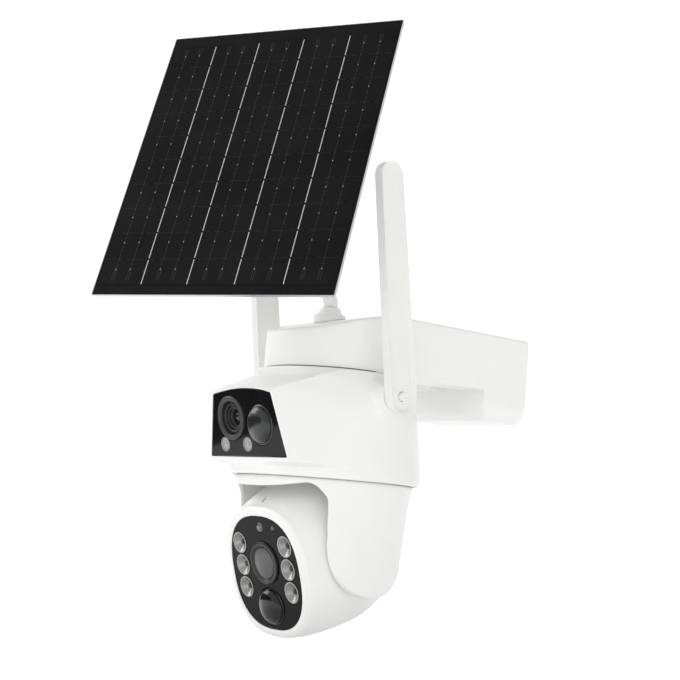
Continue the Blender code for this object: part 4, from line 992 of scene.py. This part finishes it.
bm.faces.new(rows[-1])
bm.faces.new(irow[0])
rear = from_bm("head_rear", bm, HEADF)
finish_piece(rear, WHITE, "head_rear_shell", angle=36)

FACE = HEADF @ Matrix.Translation((0, -49.2 * MM, 0)) @ OUT
LENS, DOME, LIGHT, STATUS = (0.0, -3.0), (0.0, -32.4), (0.3, 20.8), (14.6, 20.8)
LEDS = [(sx * 24.9, -5.8 + k * 15.1) for sx in (-1, 1) for k in (1, 0, -1)]
mic = turned("mic_capsule", rounded([(0, 1.5), (2.2, 1.5), (2.3, 1.3), (3.0, 1.3, 0.3), (3.0, -1.5), (0, -1.5)], 0.12, 3),
             HEADF @ Matrix.Translation((0, -38.9 * MM, 32.9 * MM)) @ Matrix.Rotation(rad(28), 4, "X"), 40)
finish_piece(mic, INNER, "microphone", angle=40)
# Painted shade: a dark plug sits just under the surface in the microphone slot, so the slot reads dark as the shade
# deep in it would.
slot_shade_plug = slab("mic_slot_shade_plug", rounded_rect(1.8, 5.1, 0.9, 6), -2.6, -0.55,
             HEADF @ Matrix.Translation((0, -41.4 * MM, 37.5 * MM)) @ Matrix.Rotation(rad(28), 4, "X"), 0.1, 2)
finish_piece(slot_shade_plug, INNER, body="head", slot="inner_black", angle=40)
fp = slab("face_glass", superellipse(36.7, 38.0, 2.5, 180, -9.7), -2.0, 0.0, FACE, 0.3, 3, r0=0.1)
boolean(fp, [hole_tool(FACE, *LENS, 14.6, segs=96), hole_tool(FACE, *DOME, 13.1, segs=96),
             hole_tool(FACE, *LIGHT, 3.7, segs=40), hole_tool(FACE, *STATUS, 1.9, segs=32)] +
        [hole_tool(FACE, u, v, 7.35, segs=56) for u, v in LEDS])
finish_piece(fp, FACE_BLACK, "face_panel", angle=30)

bz = turned("main_lens_ring", rounded(
    [(14.3, -6.0), (14.3, 0.9, 0.5), (13.3, 1.3, 0.4), (12.4, 1.2, 0.3), (11.8, 0.7, 0.2), (11.2, 0.6, 0.2),
     (10.75, 0.2, 0.2), (10.7, -2.8), (12.8, -6.0)], 0.15, 4, True), at_face(FACE, LENS), 128, closed=True)
finish_piece(bz, SATIN_BLACK, "main_lens_bezel", angle=50)
bl = turned("main_lens_tube", rounded(
    [(10.6, -3.2), (10.6, -0.7, 0.1), (10.45, -0.7, 0.1), (10.45, -3.6), (5.2, -6.0), (5.2, -24.0), (9.6, -24.0),
     (9.6, -8.0)], 0.1, 3, True), at_face(FACE, LENS), 96, closed=True)
finish_piece(bl, RING, "main_lens_barrel", angle=50)
gl = turned("main_lens_element", [(0, 1.9)] + [(10.35 * k / 12, 1.9 - 1.35 * (k / 12) ** 2) for k in range(1, 13)] +
            [(10.35, -3.2), (0, -3.2)], at_face(FACE, LENS), 96)
finish_piece(gl, LENS_GREY, "main_lens_glass", angle=50)
pd = turned("lower_motion_lens", pir_profile(12.7, 5.6, 0.1), at_face(FACE, DOME), 96)
finish_piece(pd, PIR2, "lower_pir_lens", angle=50)


def cup(name, frame_m, uv, r=7.0, segs=24):
    """Faceted reflector: three tiers of flats that turn half a step."""
    bm = bmesh.new()
    mt = at_face(frame_m, uv)
    tiers = [(r, -0.05), (r - 0.35, -0.02), (r - 0.6, -0.35), (5.2, -1.3), (3.7, -2.5), (2.3, -3.5), (1.9, -3.55)]
    rows = []
    for k, (rr0, z) in enumerate(tiers):
        ph = 0.5 * (k % 2) if 2 <= k <= 5 else 0.0
        rows.append([bm.verts.new((rr0 * MM * math.cos(math.tau * (i + ph) / segs),
                                   rr0 * MM * math.sin(math.tau * (i + ph) / segs), z * MM)) for i in range(segs)])
    for k, (a, b) in enumerate(zip(rows, rows[1:])):
        pa = (k % 2) if 2 <= k <= 5 else 0
        pb = ((k + 1) % 2) if 2 <= k + 1 <= 5 else 0
        for i in range(segs):
            j = (i + 1) % segs
            if pa == pb:
                bm.faces.new((a[i], a[j], b[j], b[i]))
            elif pb > pa:
                bm.faces.new((a[i], a[j], b[i]))
                bm.faces.new((a[j], b[j], b[i]))
            else:
                bm.faces.new((a[i], b[j], b[i]))
                bm.faces.new((a[i], a[j], b[j]))
    bm.faces.new(rows[-1])
    low = [bm.verts.new((r * MM * math.cos(math.tau * i / segs), r * MM * math.sin(math.tau * i / segs), -4.8 * MM))
           for i in range(segs)]
    for i in range(segs):
        j = (i + 1) % segs
        bm.faces.new((rows[0][i], low[i], low[j], rows[0][j]))
    bm.faces.new(low)
    return from_bm(name, bm, mt)


for i, uv in enumerate(LEDS):
    c = cup("ir_reflector_%d" % (i + 1), FACE, uv)
    finish_piece(c, MIRROR, "ir_led_%d" % (i + 1), smooth=False)
    chip = turned("ir_emitter_%d" % (i + 1), rounded(
        [(0, -1.35), (0.7, -1.42), (1.35, -1.85), (1.7, -2.6), (1.75, -3.2), (2.15, -3.3, 0.1), (2.15, -3.5), (0, -3.5)],
        0.1, 3), at_face(FACE, uv), 32)
    finish_piece(chip, CHIP, body="head", slot="pir_dome", angle=40)
    rim = turned("ir_rim_%d" % (i + 1), rounded([(7.1, 0.02), (7.1, 0.22), (6.35, 0.22), (6.2, 0.02)], 0.08, 2, True),
                 at_face(FACE, uv), 56, closed=True)
    finish_piece(rim, LED_LENS, body="head", slot="reflector", angle=40)
ls = turned("light_lens", [(0, 0.5)] + [(3.35 * math.sin(rad(k * 15)), 0.5 - 1.2 * (1 - math.cos(rad(k * 15))))
                                        for k in range(1, 7)] + [(3.35, -3.4), (0, -3.4)], at_face(FACE, LIGHT), 48)
finish_piece(ls, SENSOR, "light_sensor", angle=50)
st = turned("status_lens", [(0, 0.3)] + [(1.6 * math.sin(rad(k * 15)), 0.3 - 0.9 * (1 - math.cos(rad(k * 15))))
                                         for k in range(1, 7)] + [(1.6, -3.6), (0, -3.6)], at_face(FACE, STATUS), 32)
finish_piece(st, SENSOR, "status_led", angle=50)

# ----------------------------------------------------------------- antennas
ANT_LEN, ANT_LEAN = 152.8, 9.4
for s, tag in ((1, "right"), (-1, "left")):
    axis = Vector(JOINTS["antenna_%s_fold" % tag]["pos_m"])
    A = Matrix.Translation(axis) @ Matrix.Rotation(rad(ANT_LEAN), 4, "X") @ \
        Matrix.Rotation(rad(90), 4, "Z") @ Matrix.Rotation(rad(90), 4, "X")
    out = arc(0, 0, 10.6, 180, 360, 40)
    n = 24
    out += [(10.6 + (9.2 - 10.6) * k / n, (ANT_LEN - 9.0) * k / n) for k in range(1, n)]
    out += arc(0, ANT_LEN - 9.0, 9.1, 0, 180, 40)
    out += [(-(9.2 + (10.6 - 9.2) * k / n), (ANT_LEN - 9.0) * (1 - k / n)) for k in range(1, n)]
    pad = slab("paddle_%s" % tag, out, -4.3, 4.3, A, 2.3, 6)
    hole = turned("t_ah", [(3.3, -10), (3.3, 10)], Matrix.Translation(axis) @ Matrix.Rotation(rad(90), 4, "Y"), 40)
    boolean(pad, [hole])
    finish_piece(pad, WHITE2, "antenna_%s" % tag, angle=34)
    pin = turned("paddle_pin_%s" % tag, rounded([(0, 4.1), (1.4, 4.1), (1.7, 4.35), (2.9, 4.3, 0.4), (2.9, -10.0), (0, -10.0)],
                                                0.15, 3),
                 Matrix.Translation(axis) @ Matrix.Rotation(rad(90 * s), 4, "Y"), 40)
    finish_piece(pin, WHITE2, "antenna_pin_%s" % tag, angle=40)

# -------------------------------------------------------------- panel mount
foot = turned("bracket_foot", rounded(
    [(0, 8.0), (6.6, 8.0, 0.6), (7.2, 7.2, 0.5), (7.8, 4.4, 1.6), (10.4, 3.0, 0.6), (11.0, 2.0, 0.5), (11.0, -8.0),
     (0, -8.0)], 0.3, 6), Matrix.Translation(T(0, -6, 110)), 72)
under = arm_solid("t_under", 0.0, WALL_Y, ARM_BOTTOM, 2.6)
under.data.transform(Matrix.Translation((0, 0, 0.25 * MM)))
boolean(foot, [under])
finish_piece(foot, WHITE, "panel_base", angle=34)


def stem_point(t):
    f = 3 * t * t - 2 * t * t * t
    z0, z1 = 119.6, 194.0 - 19.8
    return Vector((0, -6.0 + (-67.5 + 6.0) * f, z0 + (z1 - z0) * t))


pts = [stem_point(0) + Vector((0, 0, -1.2))] + [stem_point(k / 40) for k in range(41)] + [stem_point(1) + Vector((0, 0, 1.2))]
rings = []
for k, p in enumerate(pts):
    a = pts[max(0, k - 1)]
    b = pts[min(len(pts) - 1, k + 1)]
    t = (b - a).normalized() if 0 < k < len(pts) - 1 else Vector((0, 0, 1))
    ex = Vector((1, 0, 0))
    ey = t.cross(ex).normalized()
    rings.append([p + ex * (5.0 * math.cos(q)) + ey * (5.0 * math.sin(q)) for q in [math.tau * i / 40 for i in range(40)]])
stem = loft("bracket_stem", rings, Matrix.Translation(PAN))
finish_piece(stem, WHITE, "panel_stem", angle=40)
SW = Matrix.Translation(HINGE) @ Matrix.Rotation(rad(26), 4, "Z")
clevis = turned("bracket_clevis", rounded([(0, -13.0), (9.2, -13.0, 0.4), (10.2, -14.0, 0.5), (10.2, -18.2, 0.5), (0, -18.2)],
                                          0.2, 4), SW, 64)
EAR = SW @ Matrix.Rotation(rad(90), 4, "Z") @ Matrix.Rotation(rad(90), 4, "X")
for s in (1, -1):
    ear = slab("t_ear", arc(0, 0, 7.0, 0, 180, 32) + [(-7.0, -14.0), (7.0, -14.0)], s * 7.9 - 1.5, s * 7.9 + 1.5,
               EAR, 0.4, 3)
    boolean(clevis, [ear], "UNION")
boolean(clevis, [turned("t_cb", [(3.1, -15), (3.1, 15)], SW @ Matrix.Rotation(rad(90), 4, "Y"), 40)])
finish_piece(clevis, WHITE, "swivel_clevis", angle=34)
PT = SW @ Matrix.Rotation(rad(-20), 4, "X")
# knob with grip flutes
bm = bmesh.new()
segs = 96
prof = rounded([(0, 19.0), (7.0, 18.9), (8.7, 18.2, 0.8), (9.3, 17.2, 0.5), (9.3, 10.9, 0.4), (8.4, 9.9, 0.3), (2.8, 9.8),
                (2.8, -9.8), (5.4, -9.8, 0.2), (5.4, -12.4, 0.4), (0, -12.4)], 0.15, 4)
rows = []
for r, z in prof:
    if r < 1e-6:
        rows.append([bm.verts.new((0, 0, z * MM))] * segs)
        continue
    row = []
    for i in range(segs):
        a = math.tau * i / segs
        f = 1.0
        if r > 8.0 and 10.2 < z < 18.2:
            f = 1.0 - 0.05 * (0.5 + 0.5 * math.cos(a * 12))
        row.append(bm.verts.new((r * f * MM * math.cos(a), r * f * MM * math.sin(a), z * MM)))
    rows.append(row)
for a, b in zip(rows, rows[1:]):
    for i in range(segs):
        j = (i + 1) % segs
        q = list(dict.fromkeys((a[i], a[j], b[j], b[i])))
        if len(q) > 2:
            bm.faces.new(q)
bolt = from_bm("bracket_knob", bm, PT @ Matrix.Rotation(rad(90), 4, "Y"))
finish_piece(bolt, INNER, "tilt_bolt", angle=40)
PANEL_W, PANEL_H, PANEL_OUT, PANEL_T = 174.8, 209.1, 30.0, 2.6
BACK = PANEL_OUT - PANEL_T
GLASS = PT @ Matrix.Translation((0, -PANEL_OUT * MM, 0)) @ OUT     # local XY in the glass, Z out
REAR = PT @ OUT
hinge = slab("bracket_plate", rounded_rect(52, 52, 6, 10), BACK - 0.3 - 3.0, BACK - 0.3, REAR, 0.1, 3, r0=0.8)
lug = slab("t_lug", arc(0, 0, 6.8, -90, 90, 32) + [(-(BACK - 2.0), 11.0), (-(BACK - 2.0), -11.0)], -6.0, 6.0,
           PT @ Matrix.Rotation(rad(90), 4, "Z") @ Matrix.Rotation(rad(90), 4, "X"), 0.4, 3)
boolean(hinge, [lug], "UNION")
boolean(hinge, [turned("t_hbore", [(3.1, -10), (3.1, 10)], PT @ Matrix.Rotation(rad(90), 4, "Y"), 40)])
finish_piece(hinge, INNER, "hinge_plate", angle=34)

# solar panel: thin metal frame, black sheet, cells, ribbons
pf = slab("panel_rim", rounded_rect(PANEL_W, PANEL_H, 0.9, 6), -PANEL_T, 0.0, GLASS, 0.15, 3, r0=0.5)
boolean(pf, [slab("t_tray", rounded_rect(PANEL_W - 0.9, PANEL_H - 0.9, 0.6, 6), -1.5, 3.0, GLASS, 0.01, 1)])
finish_piece(pf, ALU, "panel_frame", angle=34)
lam = slab("panel_sheet", rounded_rect(PANEL_W - 1.1, PANEL_H - 1.1, 0.5, 6), -1.4, -0.28, GLASS, 0.12, 2, r0=0.05)
finish_piece(lam, SHEET, "panel_laminate", angle=34)
KU, KV = 1.0133, 1.0101
RIBBONS = [u * KU for u in (-51.2, -17.5, 16.4, 50.2)]
COLS = [-86.0] + RIBBONS + [86.0]
BREAKS = [v * KV for v in (76.8, 57.5, 38.4, 19.3, 0.3, -18.7, -37.8, -57.1, -77.0)]
ROWS = [96.9] + BREAKS + [-97.2]


def tiles(name, boxes, mat, slot="solar_cells", bevel=0.0):
    """Many small flat tiles (u0, u1, v0, v1, z0, z1) in one mesh."""
    bm = bmesh.new()
    for u0, u1, v0, v1, z0, z1 in boxes:
        c = min(bevel, (u1 - u0) * 0.3, (v1 - v0) * 0.3)
        t = min(0.04, (z1 - z0) * 0.4)
        pts = [(u0 + c, v0), (u1 - c, v0), (u1, v0 + c), (u1, v1 - c), (u1 - c, v1), (u0 + c, v1), (u0, v1 - c),
               (u0, v0 + c)] if c > 0 else [(u0, v0), (u1, v0), (u1, v1), (u0, v1)]
        cu, cv = (u0 + u1) / 2, (v0 + v1) / 2
        rr = [[bm.verts.new((x * MM, y * MM, z0 * MM)) for x, y in pts],
              [bm.verts.new((x * MM, y * MM, (z1 - t) * MM)) for x, y in pts],
              [bm.verts.new(((x - math.copysign(t, x - cu)) * MM, (y - math.copysign(t, y - cv)) * MM, z1 * MM))
               for x, y in pts]]
        n = len(pts)
        for a, b in zip(rr, rr[1:]):
            for i in range(n):
                j = (i + 1) % n
                bm.faces.new((a[i], a[j], b[j], b[i]))
        bm.faces.new(rr[0])
        bm.faces.new(rr[-1])
    bmesh.ops.transform(bm, matrix=GLASS, verts=bm.verts)
    bmesh.ops.recalc_face_normals(bm, faces=bm.faces)
    me = bpy.data.meshes.new(name)
    bm.to_mesh(me)
    bm.free()
    ob = bpy.data.objects.new(name, me)
    bpy.context.scene.collection.objects.link(ob)
    return finish_piece(ob, mat, body="solar_panel", slot=slot, smooth=False)


LZ = -0.29
tiles("panel_cells", [(COLS[i] + (0.25 if i else 0.6), COLS[i + 1] - (0.25 if i < 4 else 0.6), ROWS[k + 1] + 0.22, ROWS[k] - 0.22,
                       LZ, LZ + 0.12) for i in range(5) for k in range(10)], CELL, bevel=1.1)
tiles("panel_ribbons", [(u - 0.3, u + 0.3, (ROWS[k + 1] + 0.62) if k < 9 else -96.5, (ROWS[k] - 0.62) if k else 94.5,
                         LZ, LZ + 0.2) for u in RIBBONS for k in range(10)],
      SILVER, slot="panel_edge", bevel=0.2)
FINE = [u * KU for u in (-73.7, -62.7, -40.2, -29.2, -6.5, 4.8, 27.5, 39.0, 61.5, 73.2)]
DOTS = [v * KV for v in (86.7, 69.0, 50.6, 32.0, 12.9, -6.1, -25.7, -45.1, -64.3, -84.6)]
fine = []
for u in FINE:
    v = DOTS[-1]
    k = 0
    while v < DOTS[0] - 0.5:
        run = (2.6, 1.5, 3.4, 1.9)[k % 4]
        fine.append((u - 0.16, u + 0.16, v, min(v + run, DOTS[0]), LZ, LZ + 0.15))
        v += run + (0.7, 1.1)[k % 2]
        k += 1

for u in FINE:
    for s in (-1, 1):
        fine.append((u + s * 0.85 - 0.15, u + s * 0.85 + 0.15, DOTS[0], 93.7, LZ, LZ + 0.15))
        fine.append((u + s * 0.85 - 0.15, u + s * 0.85 + 0.15, -93.7, DOTS[-1], LZ, LZ + 0.15))
tiles("panel_fine_lines", fine, FAINT)
rows_ = []
for k, b in enumerate(BREAKS):
    for i in range(5):
        u, j = COLS[i] + 1.2, (k * 3 + i * 5) % 4
        while u < COLS[i + 1] - 2.0:
            run = (7.5, 3.2, 10.5, 5.0)[j % 4]
            rows_.append((u, min(u + run, COLS[i + 1] - 1.2), b - 0.15, b + 0.15, LZ, LZ + 0.14))
            u += run + (1.6, 3.4, 0.9)[j % 3]
            j += 1
tiles("panel_row_lines", rows_, FAINT2)
bm = bmesh.new()
for u in FINE:
    for v in DOTS:
        rows = [[bm.verts.new(((u + r * math.cos(math.tau * i / 12)) * MM, (v + 1.5 * r * math.sin(math.tau * i / 12)) * MM,
                               z * MM)) for i in range(12)] for r, z in ((0.34, LZ), (0.34, LZ + 0.14), (0.2, LZ + 0.2))]
        for a, b in zip(rows, rows[1:]):
            for i in range(12):
                bm.faces.new((a[i], a[(i + 1) % 12], b[(i + 1) % 12], b[i]))
        bm.faces.new(rows[0])
        bm.faces.new(rows[-1])
dots = from_bm("panel_solder_dots", bm, GLASS, doubles=0.0)
finish_piece(dots, DOT, body="solar_panel", slot="panel_edge")

# box on the panel's back
JB = PT @ Matrix.Translation((0, -(BACK - 0.3) * MM, -60 * MM)) @ Matrix.Rotation(rad(-90), 4, "X")
jb = slab("cable_box", rounded_rect(44, 32, 3.0, 8), 0.0, 11.6, JB, 1.2, 4, r0=0.3)
lid = slab("t_lid", rounded_rect(41, 29, 2.4, 8), 10.0, 13.0, JB, 0.7, 3)
gl_ = turned("t_gland", rounded([(0, 0), (5.6, 0), (5.6, 4.5, 0.5), (4.4, 5.2, 0.3), (4.4, 8.2, 0.6), (2.4, 8.4, 0.3),
                                 (2.3, 3.0), (0, 3.0)], 0.2, 4),
             PT @ Matrix.Translation((0, -(BACK - 0.3 - 6.3) * MM, -76 * MM)) @ Matrix.Rotation(rad(180), 4, "X"), 12)
boolean(jb, [lid, gl_], "UNION")
finish_piece(jb, INNER, "junction_box", angle=34)

# ------------------------------------------------------------ floor, light
def flat_material(name, color, rough, glow=0.0):
    mat, nt, p, L = nodes_of(name)
    tc = nt.nodes.new("ShaderNodeTexCoord")
    n = add_node(nt, "ShaderNodeTexNoise", Scale=3.0, Detail=2.0)
    L.new(tc.outputs["Object"], n.inputs["Vector"])
    r = ramp(nt, n.outputs["Fac"], [(0.3, scaled(color, 0.995)), (0.7, scaled(color, 1.005))])
    L.new(r.outputs["Color"], p.inputs["Base Color"])
    p.inputs["Roughness"].default_value = rough
    if glow:
        p.inputs["Emission Color"].default_value = (1, 1, 1, 1)
        p.inputs["Emission Strength"].default_value = glow
    return mat


FLOOR_Z = -0.26
away = Vector((-math.sin(AZ), math.cos(AZ), 0.0))
bm = bmesh.new()
prof = [(-2.6 + 0.4 * k, 0.0) for k in range(12)]
prof += [(1.8 + 1.2 * math.sin(rad(90) * k / 16), 1.2 - 1.2 * math.cos(rad(90) * k / 16)) for k in range(1, 17)]
prof += [(3.0, 3.2)]
rows = []
for d, h in prof:
    c = Vector((0, -0.13, FLOOR_Z)) + away * d
    rows.append([bm.verts.new(c + Vector((math.cos(AZ), math.sin(AZ), 0)) * w + Vector((0, 0, h)))
                 for w in np.linspace(-3.2, 3.2, 9)])
for a, b in zip(rows, rows[1:]):
    for i in range(8):
        bm.faces.new((a[i], a[i + 1], b[i + 1], b[i]))
me = bpy.data.meshes.new("sweep")
bm.to_mesh(me)
bm.free()
me.shade_smooth()
sweep = bpy.data.objects.new("sweep", me)
bpy.context.scene.collection.objects.link(sweep)
paper = flat_material("sweep_paper", (0.72, 0.72, 0.72), 0.9)
nt = paper.node_tree
tc = nt.nodes.new("ShaderNodeTexCoord")
dist = nt.nodes.new("ShaderNodeVectorMath")
dist.operation = "DISTANCE"
dist.inputs[1].default_value = (0.0, -0.13, FLOOR_Z)
nt.links.new(tc.outputs["Object"], dist.inputs[0])
# Painted shade on the floor: the glow is zero within 0.12 m of the spot under the object and rises smoothly to full at
# 0.38 m, so the floor beneath the object is a darker disc that stands in for its shadow; further out the glow keeps the
# floor plain white.
glow = nt.nodes.new("ShaderNodeMapRange")
glow.interpolation_type = "SMOOTHSTEP"
glow.inputs["From Min"].default_value = 0.12
glow.inputs["From Max"].default_value = 0.38
glow.inputs["To Min"].default_value = 0.0
glow.inputs["To Max"].default_value = 0.6
nt.links.new(dist.outputs["Value"], glow.inputs["Value"])
pb = nt.nodes["Principled BSDF"]
pb.inputs["Emission Color"].default_value = (1, 1, 1, 1)
nt.links.new(glow.outputs["Result"], pb.inputs["Emission Strength"])
pb.inputs["Specular IOR Level"].default_value = 0.1
me.materials.append(paper)

# a dark card to the front left, for the black faces to mirror
me = bpy.data.meshes.new("flag")
bm = bmesh.new()
side_dir = Vector((-0.790, -0.613, 0.0)).normalized()
cross = Vector((-side_dir.y, side_dir.x, 0.0))
c0 = Vector((0.0, -0.222, 0.0)) + side_dir * 0.86
q = [c0 + cross * w + Vector((0, 0, h)) for w, h in ((-0.75, FLOOR_Z + 0.004), (0.6, FLOOR_Z + 0.004), (0.6, 0.05), (-0.75, 0.05))]
bm.faces.new([bm.verts.new(p) for p in q])
bm.to_mesh(me)
bm.free()
flag = bpy.data.objects.new("flag", me)
bpy.context.scene.collection.objects.link(flag)
me.materials.append(flat_material("flag_cloth", (0.02, 0.02, 0.02), 0.95))
flag.visible_camera = False
flag.visible_diffuse = False
flag.visible_shadow = False

world = bpy.data.worlds.new("studio")
bpy.context.scene.world = world
world.use_nodes = True
wt = world.node_tree
bg = wt.nodes["Background"]
tc = wt.nodes.new("ShaderNodeTexCoord")
sp = wt.nodes.new("ShaderNodeSeparateXYZ")
wt.links.new(tc.outputs["Generated"], sp.inputs["Vector"])
mr = wt.nodes.new("ShaderNodeMapRange")
mr.inputs["From Min"].default_value = -1.0
mr.inputs["From Max"].default_value = 1.0
wt.links.new(sp.outputs["Z"], mr.inputs["Value"])
wr = ramp(wt, mr.outputs["Result"], [(0.0, (0.8, 0.8, 0.8)), (0.46, (0.85, 0.85, 0.85)), (0.53, (0.93, 0.93, 0.93)),
                                     (0.75, (0.95, 0.95, 0.95)), (1.0, (0.8, 0.8, 0.8))])
wt.links.new(wr.outputs["Color"], bg.inputs["Color"])
bg.inputs["Strength"].default_value = 0.73


def area_light(name, loc, target, size, power, size_y=None):
    d = bpy.data.lights.new(name, "AREA")
    d.energy = power
    d.size = size
    if size_y:
        d.shape = "RECTANGLE"
        d.size_y = size_y
    o = bpy.data.objects.new(name, d)
    bpy.context.scene.collection.objects.link(o)
    o.location = loc
    o.rotation_euler = (Vector(target) - Vector(loc)).to_track_quat("-Z", "Y").to_euler()
    return o


CENTRE = (0.0, -0.13, -0.02)
key = area_light("key", (0.35, -1.7, 0.5), CENTRE, 1.3, 2.4)
top = area_light("top", (-0.25, -0.75, 1.7), CENTRE, 1.2, 2.0)
low = area_light("low", (1.3, -0.85, 0.1), CENTRE, 1.3, 2.7)
glint = area_light("glint", (-1.35, -1.0, 0.75), (0.0, -0.2, -0.04), 0.9, 6.5)
glint.data.diffuse_factor = 0.12
for lamp in (key, top, low):
    lamp.visible_glossy = False
bpy.context.scene.view_settings.view_transform = "Standard"
